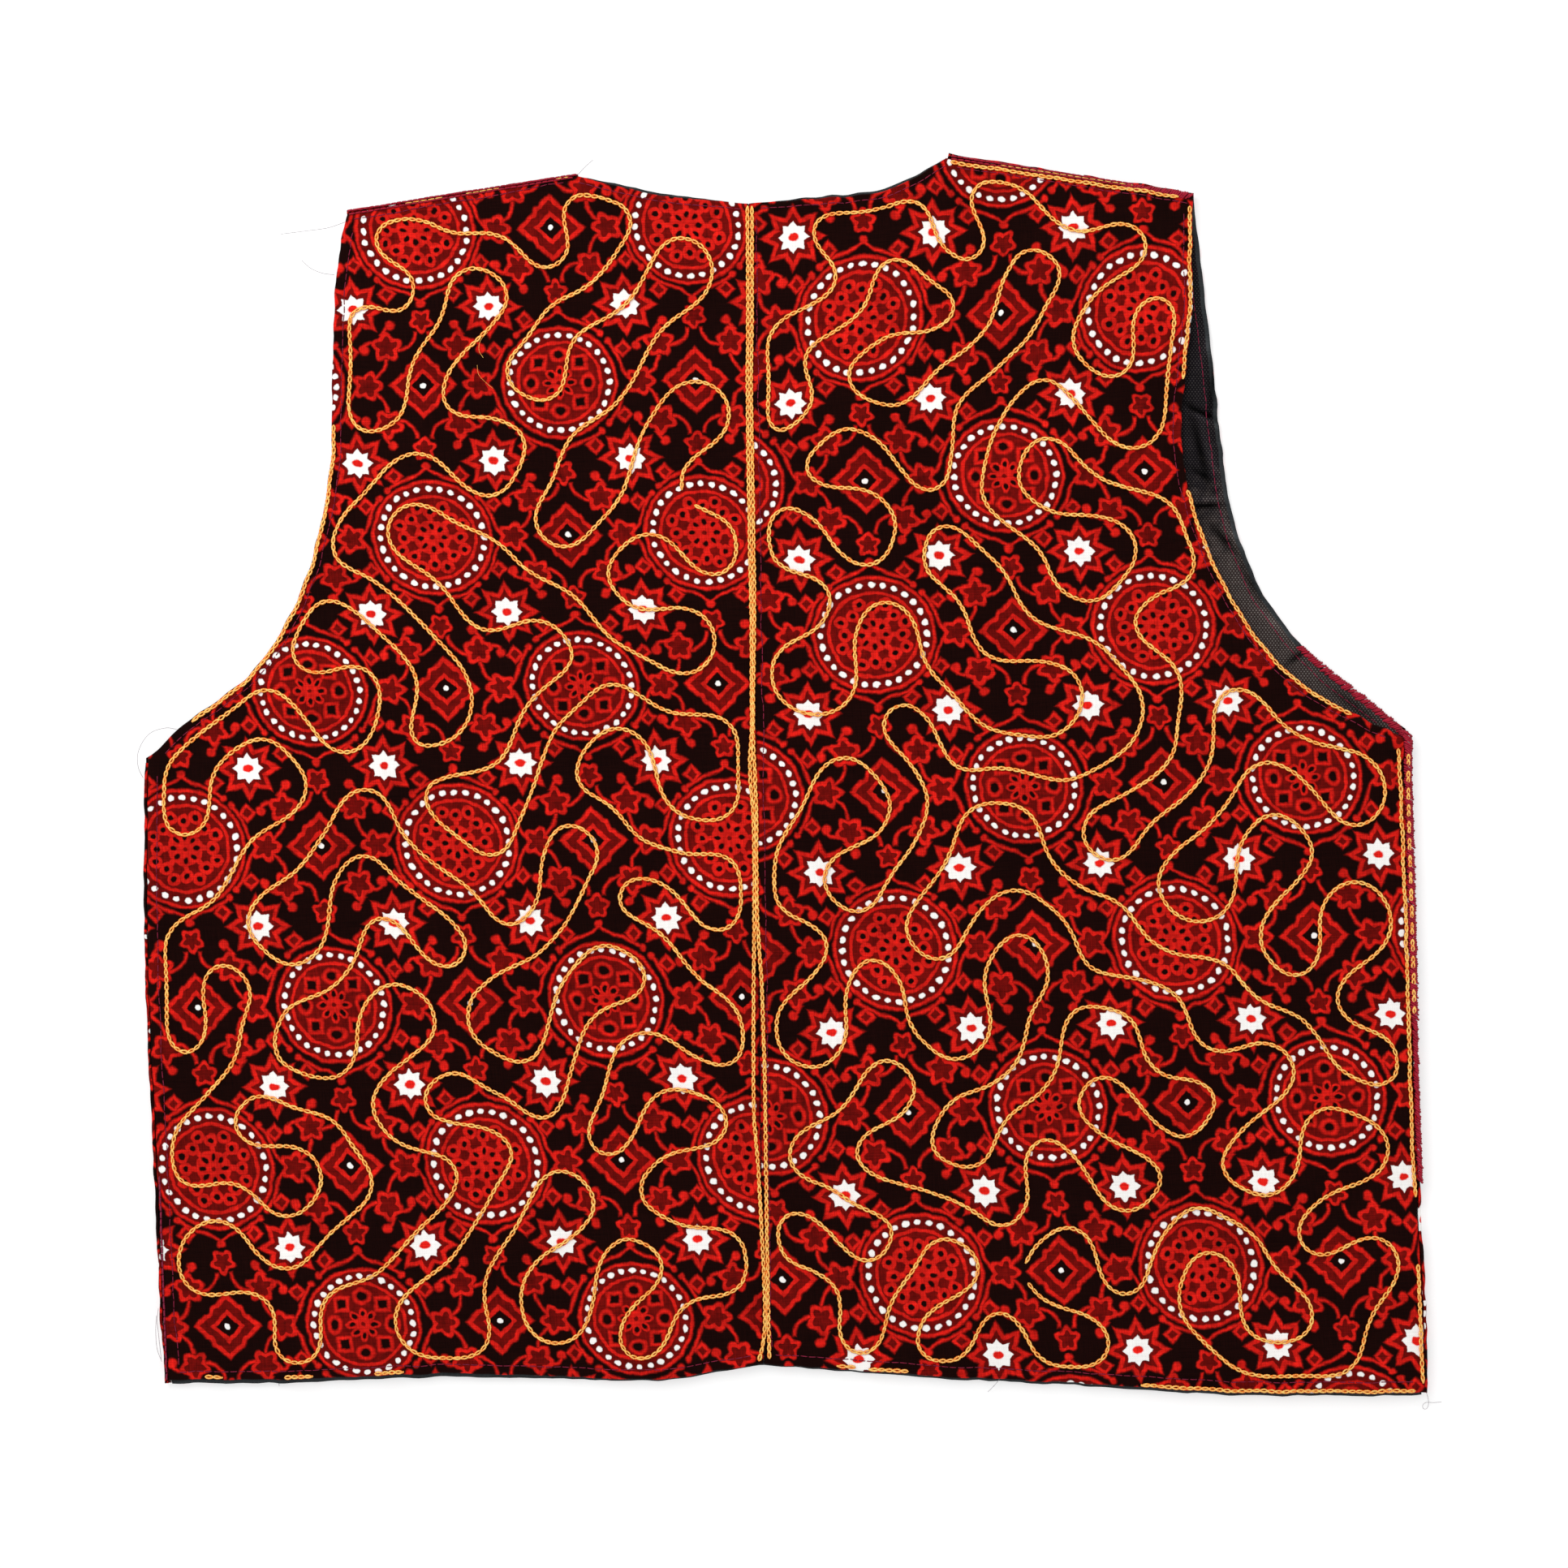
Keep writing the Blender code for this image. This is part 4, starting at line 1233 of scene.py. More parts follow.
def make_lining(node, settings, material):
    """One piece of the dark lining."""
    loop = edge_loop(node)[:, :2]
    patch = None
    if node == SHOWN_LINING:
        loop, patch = inset_points(loop, -SHOWN_LINING_REACH), SHOWN_PATCH
    if node == "lining_back":
        stops_x, reaches = [stop.x for stop in LINING_HEM], [stop.reach for stop in LINING_HEM]
        hangs = np.interp(loop[:, 0], stops_x, reaches)
        loop[:, 1] -= np.where(loop[:, 1] < HEM_HEIGHT, hangs, 0.0)
    spacing, fine_spacing = settings.hidden_mesh / MM, settings.shown_mesh / MM
    places, faces = triangulated(loop, LINING_EDGE, spacing, patch, fine_spacing)
    edge = distance_to(loop, places)[0]
    surface = node_surface(node)
    heights = surface.at(places) - edge_drops(edge, LINING_EDGE)
    points, every = two_sided(places, faces, heights, settings.thickness / MM, below=False)
    # The rim map holds the distance from the edge and the crease heights, which the material turns into the
    # painted shade and highlight of the tucks.
    rim = np.tile(np.stack([edge, crease_heights(surface.creases, *places.T)], 1), (2, 1))
    mesh = mesh_of(f"cloth_{node}", points, every, {"cloth": points[:, :2], "rim": rim})
    return new_piece(f"cloth_{node}", mesh, material, [node])


# ---- stitches

# The embroidered line wanders over each half of the back in rounded turns that never cross. It
# starts as a walk round a random tree on a turned lattice, then bends, grows and spreads.
Wander = namedtuple("Wander", "seed end_x end_y")

WANDERS = {                 # with the place of the line's two loose ends, in millimetres
    "left": Wander(1, -40.0, 118.0),
    "right": Wander(101, 98.0, -200.0),
}
END_GAP = 8.0               # between the two ends of a line
LATTICE = 20.0              # between neighbouring runs of the walk
LATTICE_TURN = 0.6          # radians
GROWING_STEP = 6.5          # between the points of the line while it grows
GROWING_ROUNDS = 48
REACH = 15.5                # at which two runs start to push each other apart
EDGE_REACH = 7.5            # at which an edge does
PUSH, EDGE_PUSH = 3.0, 4.0
GROWTH = 0.20               # of each bend, in a round
STIFFNESS = 0.125           # keeps the bends wide
OTHER_RUN = 1.6             # reaches along the line from which on it counts as another run
TOUCHING = 1e-6             # added to each gap, so that none is 0
OUTSIDE_PUSH = 2.0          # at most, against the push at the edge itself
CELL_CLEARANCE = 0.3        # of a cell's middle from the edge, against the lattice
WARP, WARP_WAVES, WARP_LENGTHS = 2.0, 12, (45.0, 130.0)
ROUGHNESS = 1.0
LATTICE_WAYS = [(0, -1), (1, 0), (0, 1), (-1, 0)]
CELL_CORNERS = [(-0.5, -0.5), (0.5, -0.5), (0.5, 0.5), (-0.5, 0.5)]

# Rows of chain stitch beside the centre-back seam, as points in millimetres
SEAM_ROWS = {
    "left": [
        (-16.0, 233.0), (-15.8, 185.0), (-16.0, 160.0), (-15.2, 100.0), (-14.5, 68.0), (-14.3, 18.0),
        (-15.0, 2.0), (-13.6, -18.0), (-13.2, -50.0), (-13.5, -100.0), (-13.3, -140.0), (-11.7, -160.0),
        (-10.3, -185.0), (-9.3, -205.0), (-8.8, -225.0), (-9.8, -235.0), (-11.3, -241.0)],
    "right": [
        (-14.2, 233.0), (-14.2, 185.0), (-14.5, 160.0), (-13.6, 100.0), (-13.2, 68.0), (-13.7, 18.0),
        (-13.0, 0.0), (-12.3, -18.0), (-12.3, -32.0), (-11.8, -62.0), (-10.2, -85.0), (-9.6, -102.0),
        (-9.0, -120.0), (-8.5, -150.0), (-8.1, -185.0), (-7.7, -205.0), (-7.4, -225.0), (-7.0, -240.0)],
}

# Where the edges of the pieces meet
Corner = namedtuple("Corner", "x y")

CORNERS = {
    "back_left": {
        "hem_centre": Corner(-9.4, -242.7), "hem_side": Corner(-253.8, -249.0),
        "underarm": Corner(-262.3, 7.0), "shoulder_tip": Corner(-180.3, 230.5),
        "neck_point": Corner(-87.3, 246.2), "neck_base": Corner(-15.9, 235.0)},
    "back_right": {
        "hem_centre": Corner(-9.1, -242.7), "hem_side": Corner(262.7, -254.0),
        "underarm": Corner(253.7, 15.3), "shoulder_tip": Corner(167.0, 237.8),
        "neck_point": Corner(65.3, 253.2), "neck_base": Corner(-15.6, 235.0)},
    SHOWN_LINING: {"underarm": Corner(252.8, 18.9), "shoulder_tip": Corner(166.9, 237.3)},
}

# Rows of stitches along the edges of the back: a part of an edge and the distance inside it, in
# millimetres, at the start and the end of that part
EdgeRow = namedtuple("EdgeRow", "node first last begin end inset end_inset")

CHAIN_EDGES = [EdgeRow(*row) for row in (
    ("back_right", "underarm", "shoulder_tip", 0.085, 0.54, 1.1, 0.9),
    ("back_right", "underarm", "shoulder_tip", 0.71, 0.985, 1.2, 1.2),
    ("back_right", "hem_side", "underarm", 0.30, 0.985, 0.9, 2.6),
    ("back_right", "hem_side", "underarm", 0.015, 0.20, 1.1, 1.2),
    ("back_right", "shoulder_tip", "neck_point", 0.06, 0.985, 1.6, 1.4),
    ("back_right", "hem_centre", "hem_side", 0.57, 0.988, 1.0, 1.0),
    ("back_left", "underarm", "shoulder_tip", 0.09, 0.66, 1.2, 1.0),
    ("back_left", "hem_centre", "hem_side", 0.60, 0.655, 1.1, 1.1),
    ("back_left", "hem_centre", "hem_side", 0.755, 0.805, 1.1, 1.1),
    ("back_left", "hem_centre", "hem_side", 0.905, 0.94, 1.3, 1.3),
    ("back_right", "hem_centre", "hem_side", 0.105, 0.145, 1.6, 1.4),
    ("back_right", "hem_centre", "hem_side", 0.16, 0.225, 1.2, 1.2),
)]

# Short links in pairs along the right side
PAIRED_LINKS = [(255.6, 8.0), (255.4, -5.0), (256.0, -30.0), (256.9, -60.0), (257.9, -98.0)]
PAIRED_PATTERN = (2, 1)
PAIRED_STEP = 2.3

CRIMSON_EDGES = [EdgeRow(*row) for row in (
    ("back_right", "hem_centre", "hem_side", 0.01, 0.99, 4.4, 4.6),
    ("back_left", "hem_centre", "hem_side", 0.01, 0.99, 4.2, 3.4),
    ("back_right", "underarm", "shoulder_tip", 0.02, 0.98, 3.4, 3.6),
    ("back_left", "underarm", "shoulder_tip", 0.02, 0.98, 3.4, 4.2),
    ("back_right", "shoulder_tip", "neck_point", 0.02, 0.97, 3.3, 3.0),
    ("back_left", "shoulder_tip", "neck_point", 0.02, 0.97, 3.0, 2.6),
    ("back_right", "neck_point", "neck_base", 0.02, 0.97, 2.6, 2.6),
    ("back_left", "neck_point", "neck_base", 0.02, 0.97, 2.6, 2.6),
    ("back_right", "hem_centre", "neck_base", 0.01, 0.99, 3.0, 3.0),
    ("back_left", "hem_side", "underarm", 0.02, 0.98, 4.6, 4.0),
    (SHOWN_LINING, "underarm", "shoulder_tip", 0.03, 0.97, 4.2, 4.2),
)]

# One chain stitch seen from above and from the side, as shares of its length, of its half width
# and of its thread's radius, from its first leg round its head to its second leg
LinkStop = namedtuple("LinkStop", "along aside rise")

LINK_LEG = [LinkStop(*row) for row in (
    (-0.16, 0.10, 0.3), (0.0, 0.24, 1.9), (0.24, 0.72, 1.5), (0.54, 1.0, 1.15), (0.84, 0.72, 1.0))]
LINK_HEAD = LinkStop(1.0, 0.0, 0.9)
LINK_STOPS = [*LINK_LEG, LINK_HEAD, *(stop._replace(aside=-stop.aside) for stop in reversed(LINK_LEG))]

# A running stitch, from where it leaves the cloth to where it enters it
RUNNING_STOPS = [LinkStop(*row) for row in (
    (0.0, 0.0, -0.6), (0.12, 0.0, 0.7), (0.5, 0.0, 0.95), (0.88, 0.0, 0.7), (1.0, 0.0, -0.6))]
SIDES = 5                   # of each thread's section
FLATTENING = 0.86           # height of that section against its width
MOST_STITCHES = 1900        # in one piece
FRONT_ROW_INSET, FRONT_ROW_SLACK = 3.5, 0.2

# How much hand-made stitches differ: in length, width, lean and thickness as shares, and in place
LENGTH_CHANCE, WIDTH_CHANCE, LEAN_CHANCE, THICKNESS_CHANCE = 0.035, 0.10, 0.05, 0.05
PLACE_CHANCE = 0.05

StitchKind = namedtuple("StitchKind", "stops half_width radius")

RUNNING = StitchKind(RUNNING_STOPS, 0.1, 0.19)
RUNNING_STEP, RUNNING_FILL = 3.4, 0.8
HIDDEN_RUNNING = StitchKind([stop._replace(rise=-stop.rise) for stop in RUNNING_STOPS], 0.1, 0.17)

# A turn of thick thread over an edge, from below it to where it enters the cloth
OVERCAST_STOPS = [LinkStop(*row) for row in (
    (0.10, 0.0, -3.2), (0.0, 0.0, -2.4), (0.05, 0.0, -1.0), (0.28, 0.0, 0.5), (0.6, 0.0, 0.8),
    (0.88, 0.0, 0.4), (1.0, 0.0, -0.8))]
OVERCAST = StitchKind(OVERCAST_STOPS, 0.1, 0.5)
OVERCAST_STEP, OVERCAST_SLANT, OVERCAST_CHANCE = 1.0, 1.9, 0.2

THICK = StitchKind(RUNNING_STOPS, 0.1, 0.42)
DASH = StitchKind(RUNNING_STOPS, 0.1, 0.3)

# Rows of running stitches that aren't inside an edge of the back
SewnRow = namedtuple("SewnRow", "node points step")

SHOULDER_ROWS = [
    SewnRow("back_left", [(-86.5, 246.4), (-134.0, 238.9), (-180.8, 231.3)], 2.3),
    SewnRow("back_left", [(-88.0, 245.2), (-134.0, 237.7), (-180.0, 230.0)], 2.6),
    SewnRow("back_right", [(68.0, 254.0), (110.0, 247.5), (143.0, 242.4)], 2.4),
    SewnRow("back_right", [(68.0, 252.9), (110.0, 246.4), (143.0, 241.3)], 2.7),
]
SIDE_ROWS = [SewnRow("back_left", [(-254.6, -248.6), (-256.4, -200.0), (-257.6, -165.0)], 2.9)]
GOLD_DASHES = [
    SewnRow("back_left", [(-156.5, 234.5), (-141.0, 237.1)], 3.1),
    SewnRow("back_left", [(-131.5, 238.6), (-117.5, 240.9)], 3.1),
    SewnRow("back_left", [(-94.5, 244.6), (-89.0, 245.5)], 2.8),
    SewnRow("back_right", [(88.0, 250.2), (120.0, 245.4), (143.0, 241.9)], 3.1),
]

# Edges of the right side that thick thread is wound over: the shoulder, the armhole and the side
Overcast = namedtuple("Overcast", "node points reach depth")

OVERCASTS = [
    Overcast("back_right", [(167.0, 238.6), (155.0, 240.6), (141.0, 242.7)], 0.1, 2.3),
    Overcast(SHOWN_LINING, [
        (256.0, 16.0), (243.8, 26.7), (231.3, 36.5), (219.8, 45.7), (212.8, 52.2)], 0.6, 2.0),
    Overcast("back_right", [
        (258.8, -101.0), (257.8, -60.0), (256.8, -20.0), (256.3, 0.0), (256.2, 15.5)], 0.9, 2.1),
    Overcast("back_right", [(261.0, -168.0), (259.8, -135.0), (258.8, -102.0)], 0.4, 1.3),
]

# Loose threads, with the height of each point over the cloth
Loose = namedtuple("Loose", "side points")

LOOSE_THREADS = [
    Loose("left", [
        (-181.5, 227.0, -1.0), (-188.0, 224.5, 0.6), (-196.0, 223.0, 2.5), (-207.5, 221.8, 1.0)]),
    Loose("left", [
        (-199.5, 211.5, -2.0), (-195.5, 208.0, -1.2), (-190.5, 206.0, -1.5), (-186.0, 205.5, -2.0)]),
    Loose("left", [
        (-250.5, 18.5, 0.2), (-255.0, 19.0, 1.4), (-261.5, 16.5, 2.2), (-266.0, 9.5, 1.6),
        (-266.3, 3.0, 0.6), (-264.5, -1.5, -0.8)]),
    Loose("left", [
        (-256.8, -241.5, -0.6), (-258.7, -236.0, -0.4), (-259.3, -229.0, -0.8), (-259.0, -222.5, -1.2)]),
    Loose("left", [
        (-257.0, -240.5, -0.6), (-258.0, -231.0, -0.4), (-258.6, -224.0, -0.6), (-258.2, -219.5, -0.8)]),
    Loose("left", [(-209.0, -247.0, -2.5), (-209.2, -249.5, -3.5), (-208.9, -252.0, -3.8)]),
    Loose("right", [(88.0, -248.0, -1.0), (86.0, -251.0, -2.4), (83.0, -254.5, -4.2)]),
    Loose("right", [
        (262.6, -252.6, -2.6), (264.2, -256.4, -4.0), (264.6, -259.4, -4.4), (263.8, -261.4, -4.3),
        (262.4, -261.3, -4.2), (262.2, -259.9, -4.1), (263.6, -258.8, -4.0), (266.6, -258.9, -4.2),
        (270.0, -258.6, -4.4)]),
    Loose("left", [(-86.0, 246.0, 0.3), (-82.5, 249.5, 1.4), (-79.5, 252.2, 1.0)]),
]
FALLEN_THREADS = [
    Loose("left", [
        (-122.6, 181.6, 0.5), (-125.6, 178.0, 0.7), (-126.2, 174.0, 0.6), (-124.5, 171.0, 0.4)]),
    Loose("left", [
        (-127.0, 168.0, 0.4), (-126.3, 164.0, 0.6), (-123.0, 160.5, 0.5), (-120.5, 158.5, 0.3)]),
]
LOOSE_RADIUS = 0.09
LOOSE_RIBS = 40
LOOSE_STEP = 0.3


def random_tree(cells, chance):
    """Pairs of neighbouring cells that join all of them without a ring."""
    pairs = [(cell, (cell[0] + x, cell[1] + y)) for cell in cells for x, y in LATTICE_WAYS[1:3]]
    pairs = [pair for pair in pairs if pair[1] in cells]
    chance.shuffle(pairs)
    groups = {cell: {cell} for cell in cells}
    tree = set()
    for first, second in pairs:
        if groups[first] is not groups[second]:
            tree |= {(first, second), (second, first)}
            joined = groups[first] | groups[second]
            groups.update(dict.fromkeys(joined, joined))
    return tree


def tree_walk(loop, seed):
    """The closed walk round a random tree of lattice cells inside a loop."""
    low, high = loop.min(0), loop.max(0)
    counts = np.ceil((high - low) / (2 * LATTICE)).astype(int)
    origin = (low + high) / 2 - (counts - 1) * LATTICE
    cells = {(i, j): origin + np.array([i, j]) * 2 * LATTICE
             for i in range(counts[0]) for j in range(counts[1])}
    distances, inside, _ = distance_to(loop, np.array(list(cells.values())))
    cells = {cell: middle for (cell, middle), far, kept in zip(cells.items(), distances, inside)
             if kept and far > CELL_CLEARANCE * LATTICE}
    tree = random_tree(cells, random.Random(seed))
    start = (next(iter(cells)), 0)
    (cell, corner), walk = start, []
    while not walk or (cell, corner) != start:
        walk.append(cells[cell] + np.array(CELL_CORNERS[corner]) * LATTICE)
        ahead = (cell[0] + LATTICE_WAYS[corner][0], cell[1] + LATTICE_WAYS[corner][1])
        if (cell, ahead) in tree:
            cell, corner = ahead, (corner - 1) % 4
        else:
            corner = (corner + 1) % 4
    return np.array(walk)


def closed_steps(points, step):
    """Even steps along a closed line."""
    return even_steps(np.concatenate([points, points[:1]]), step)[:-1]


def grown(line, loop):
    """A closed line after one round of growth: bends widen, and runs and edges push it away."""
    line = closed_steps(line, GROWING_STEP)
    offsets = line[:, None] - line
    gaps = np.linalg.norm(offsets, axis=2) + TOUCHING
    along = np.abs(np.subtract.outer(np.arange(len(line)), np.arange(len(line))))
    other_run = np.minimum(along, len(line) - along) * GROWING_STEP > OTHER_RUN * REACH
    weights = np.clip(1.0 - gaps / REACH, 0.0, 1.0) * other_run / gaps
    pushes = (offsets * weights[..., None]).sum(1)
    pushes /= np.maximum(np.linalg.norm(pushes, axis=1), 1.0)[:, None]
    distances, inside, ways = distance_to(loop, line)
    sign = np.where(inside, 1.0, -1.0)
    walls = (np.clip(1.0 - distances * sign / EDGE_REACH, 0.0, OUTSIDE_PUSH) * sign)[:, None] * ways
    bends = np.roll(line, 1, 0) + np.roll(line, -1, 0) - 2.0 * line
    stiff = np.roll(bends, 1, 0) + np.roll(bends, -1, 0) - 2.0 * bends
    return line + PUSH * pushes + EDGE_PUSH * walls - GROWTH * bends - STIFFNESS * stiff


def wandering_line(side, step):
    """The embroidered line of one half of the back, in even steps from end to end."""
    wander = WANDERS[side]
    loop = np.array([point.xy for point in outline(f"back_{side}")])
    turn_x, turn_y = math.cos(LATTICE_TURN), math.sin(LATTICE_TURN)
    turn = np.array([[turn_x, turn_y], [-turn_y, turn_x]])
    line = closed_steps(tree_walk(loop @ turn, wander.seed) @ turn.T, GROWING_STEP)
    chance = np.random.default_rng(wander.seed)
    ways = chance.uniform(0.0, math.tau, WARP_WAVES)
    waves = np.stack([np.cos(ways), np.sin(ways)]) * math.tau / chance.uniform(*WARP_LENGTHS, WARP_WAVES)
    for axis in (0, 1):
        line[:, axis] += WARP * np.sin(line @ waves + chance.uniform(0.0, math.tau, WARP_WAVES)).sum(1)
    line += chance.normal(0.0, ROUGHNESS, line.shape)
    for _ in range(GROWING_ROUNDS):
        line = grown(line, loop)
    line = closed_steps(line, 1.0)
    ends = int(np.argmin(np.hypot(line[:, 0] - wander.end_x, line[:, 1] - wander.end_y)))
    opened = np.roll(line, -ends, axis=0)[:len(line) - round(END_GAP)]
    fine = smooth_run([Vector((x, y, 0.0)) for x, y in even_steps(opened, GROWING_STEP)])[:, :2]
    return even_steps(fine, step)


def line_of(points, step):
    """A smooth line through points, in even steps."""
    fine = smooth_run([Vector((x, y, 0.0)) for x, y in points])[:, :2]
    return even_steps(fine, step)


def side_of(node):
    """Left or right, from the end of a name."""
    return node.rpartition("_")[2]


def edge_line(row, step):
    """The line of a row of stitches inside an edge of the back."""
    loop = edge_loop(row.node)[:, :2]
    if side_of(row.node) == "left":
        loop = loop[::-1]
    corners = CORNERS[row.node]
    first, last = (int(np.argmin(((loop - np.array(corners[name])) ** 2).sum(1)))
                   for name in (row.first, row.last))
    if row.first == "hem_centre" and row.last == "neck_base":
        first, last = last, first       # the centre edge runs from the neck to the hem
    if last < first:
        last += len(loop)
    run = even_steps(loop[np.arange(first, last + 1) % len(loop)], EDGE_STEP)
    shares = np.linspace(0.0, 1.0, len(run))
    ways = np.gradient(run, axis=0)
    ways /= np.linalg.norm(ways, axis=1)[:, None]
    inward = np.stack([-ways[:, 1], ways[:, 0]], 1) * (1.0 if side_of(row.node) == "right" else -1.0)
    moved = run + inward * np.interp(shares, [row.begin, row.end], [row.inset, row.end_inset])[:, None]
    return even_steps(moved[(shares >= row.begin) & (shares <= row.end)], step)


def threads_mesh(name, courses, radius, chance):
    """A mesh of threads of SIDES sides round their courses, an array of thread, rib and place."""
    count, ribs = courses.shape[:2]
    tangent = np.gradient(courses, axis=1)
    tangent /= np.linalg.norm(tangent, axis=2)[..., None]
    flank = np.cross(tangent, np.array([0.0, 0.0, 1.0]))
    flank /= np.maximum(np.linalg.norm(flank, axis=2)[..., None], TINY)
    top = np.cross(flank, tangent)
    turns = np.arange(SIDES) / SIDES * math.tau + math.pi / 2
    thick = radius * (1.0 + chance.normal(0.0, THICKNESS_CHANCE, (count, 1, 1, 1)))
    points = courses[:, :, None] + thick * (flank[:, :, None] * np.cos(turns)[:, None]
                                            + FLATTENING * top[:, :, None] * np.sin(turns)[:, None])
    rib, side = np.meshgrid(np.arange(ribs - 1), np.arange(SIDES), indexing="ij")
    nearby = (side + 1) % SIDES
    quads = np.stack([rib * SIDES + side, (rib + 1) * SIDES + side, (rib + 1) * SIDES + nearby,
                      rib * SIDES + nearby], 2).reshape(-1, 4)
    faces = (quads[None] + (np.arange(count) * ribs * SIDES)[:, None, None]).reshape(-1, 4)
    places = np.stack([np.stack([rib, rib + 1, rib + 1, rib], 2).reshape(-1, 4) / (ribs - 1),
                       np.stack([side, side, side + 1, side + 1], 2).reshape(-1, 4) / SIDES], 2)
    mesh = bpy.data.meshes.new(name)
    mesh.from_pydata(points.reshape(-1, 3) * MM, [], faces.tolist())
    corners = np.tile(places.reshape(-1, 2), (count, 1)).ravel()
    for layer in ("thread", "OFBake"):
        mesh.uv_layers.new(name=layer).data.foreach_set("uv", corners)
    return mesh


def stitch_courses(starts, ends, heights, kind, chance):
    """Courses of stitches of one kind, each from its start to its end on the cloth."""
    course = np.array(kind.stops)
    count = len(starts)
    ways = ends - starts
    lengths = np.linalg.norm(ways, axis=1)
    ways = ways / lengths[:, None]
    asides = np.stack([-ways[:, 1], ways[:, 0]], 1)
    lengths = lengths * (1.0 + chance.normal(0.0, LENGTH_CHANCE, count))
    widths = kind.half_width * (1.0 + chance.normal(0.0, WIDTH_CHANCE, count))
    lean = chance.normal(0.0, LEAN_CHANCE, count)
    along = course[:, 0] * lengths[:, None]
    aside = course[:, 1] * widths[:, None] + lean[:, None] * course[:, 0] * widths[:, None]
    courses = np.empty((count, len(course), 3))
    courses[..., :2] = starts[:, None] + along[..., None] * ways[:, None] + aside[..., None] * asides[:, None]
    courses[..., 2] = heights[0][:, None] + (heights[1] - heights[0])[:, None] * course[:, 0]
    courses[..., 2] += course[:, 2] * kind.radius
    return courses


def stitched(surface, starts, ends, kind, seed):
    """Courses of stitches of one kind, each from its start to its end on a surface of cloth."""
    heights = (surface.at(starts), surface.at(ends))
    return stitch_courses(starts, ends, heights, kind, np.random.default_rng(seed))


def chain_kind(settings):
    """The chain stitch of the settings."""
    radius = settings.thread / MM / 2
    return StitchKind(LINK_STOPS, settings.link_width / MM / 2 - radius, radius)


def chain_row(side, line, kind, seed, pattern=(1, 0)):
    """Courses of a row of chain stitch. pattern is how many links are made and left out in turn."""
    line = line + np.random.default_rng(seed).normal(0.0, PLACE_CHANCE, line.shape)
    made = np.arange(len(line) - 1) % sum(pattern) < pattern[0]
    return stitched(back_surface(side), line[:-1][made], line[1:][made], kind, seed)


def running_row(surface, line, kind, seed):
    """Courses of a row of running stitches along a line."""
    line = line + np.random.default_rng(seed).normal(0.0, PLACE_CHANCE, line.shape)
    starts, ends = line[:-1], line[1:]
    return stitched(surface, starts, starts + (ends - starts) * RUNNING_FILL, kind, seed)


def sewn_rows(rows, side, kind, seed):
    """Courses of the rows of running stitches on one side that go through given points."""
    return [running_row(node_surface(row.node), line_of(row.points, row.step), kind, seed + rank)
            for rank, row in enumerate(rows) if side_of(row.node) == side]


def overcast_row(row, seed):
    """Courses of thick thread wound over an edge, with the cloth to the left of the row's points."""
    line = line_of(row.points, OVERCAST_STEP)
    chance = np.random.default_rng(seed)
    ways = np.gradient(line, axis=0)
    ways /= np.linalg.norm(ways, axis=1)[:, None]
    inward = np.stack([-ways[:, 1], ways[:, 0]], 1)
    starts = line - inward * (row.reach + chance.normal(0.0, OVERCAST_CHANCE, (len(line), 1)))
    ends = line + inward * row.depth + ways * OVERCAST_SLANT
    ends = ends + chance.normal(0.0, OVERCAST_CHANCE, line.shape)
    return stitched(node_surface(row.node), starts, ends, OVERCAST, seed)


def loose_courses(rows):
    """Courses of loose ends of thread that lie on the cloth or stand away from it."""
    courses = []
    for row in rows:
        line = smooth_run([Vector(point) for point in row.points], LOOSE_STEP)
        shares, stops = np.linspace(0.0, 1.0, LOOSE_RIBS), np.linspace(0.0, 1.0, len(line))
        course = np.stack([np.interp(shares, stops, line[:, axis]) for axis in range(3)], 1)
        course[:, 2] += back_surface(row.side).at(course[:, :2])
        courses.append(course)
    return courses


def front_row(side, seed):
    """Courses of the row of stitches all round a front, on its hidden printed face."""
    loop = edge_loop(f"front_{side}", from_below=True)[:, :2]
    line = inset_points(loop, FRONT_ROW_INSET)
    line = line[distance_to(loop, line)[0] > FRONT_ROW_INSET - FRONT_ROW_SLACK]
    line = closed_steps(line, RUNNING_STEP)
    line = np.concatenate([line, line[:1]])
    starts, ends = line[:-1], line[:-1] + (line[1:] - line[:-1]) * RUNNING_FILL
    heights = (np.full(len(starts), FRONT_LIFT), np.full(len(starts), FRONT_LIFT))
    return stitch_courses(starts, ends, heights, HIDDEN_RUNNING, np.random.default_rng(seed))


STITCHES = {"left": [], "right": []}        # the pieces of stitching on each half of the back


def thread_pieces(name, courses, radius, material, seed, side=None):
    """Makes the pieces of thread along their courses and notes the side that they are sewn to.

    They come in parts where one would be too large.
    """
    parts = math.ceil(len(courses) / MOST_STITCHES)
    pieces = []
    for part, some in enumerate(np.array_split(courses, parts)):
        label = f"{name}_{part + 1}" if parts > 1 else name
        mesh = threads_mesh(label, some, radius, np.random.default_rng(seed + part))
        pieces.append(new_piece(label, mesh, material))
    if side:
        STITCHES[side] += pieces


TWISTS = 12.0               # of the thread's strands in one stitch
# The thread's painted highlight comes from glints at random, from its twist and from the top of its section.
GLINT_SCALE, GLINT_DETAIL = 700.0, 1.0      # for each metre
GLINT_CONTRAST, TWIST_CONTRAST, TOP_HIGHLIGHT_CONTRAST = 2.4, 0.5, 2.0
HIGHLIGHT_OFFSET = 2.55          # the higher, the less of the thread gets the painted highlight
CHAIN_ROUGHNESS, SEWING_ROUGHNESS = 0.42, 0.6
THREAD_SPECULAR = 0.2
THREAD_RELIEF = 0.00008     # of its strands, in metres


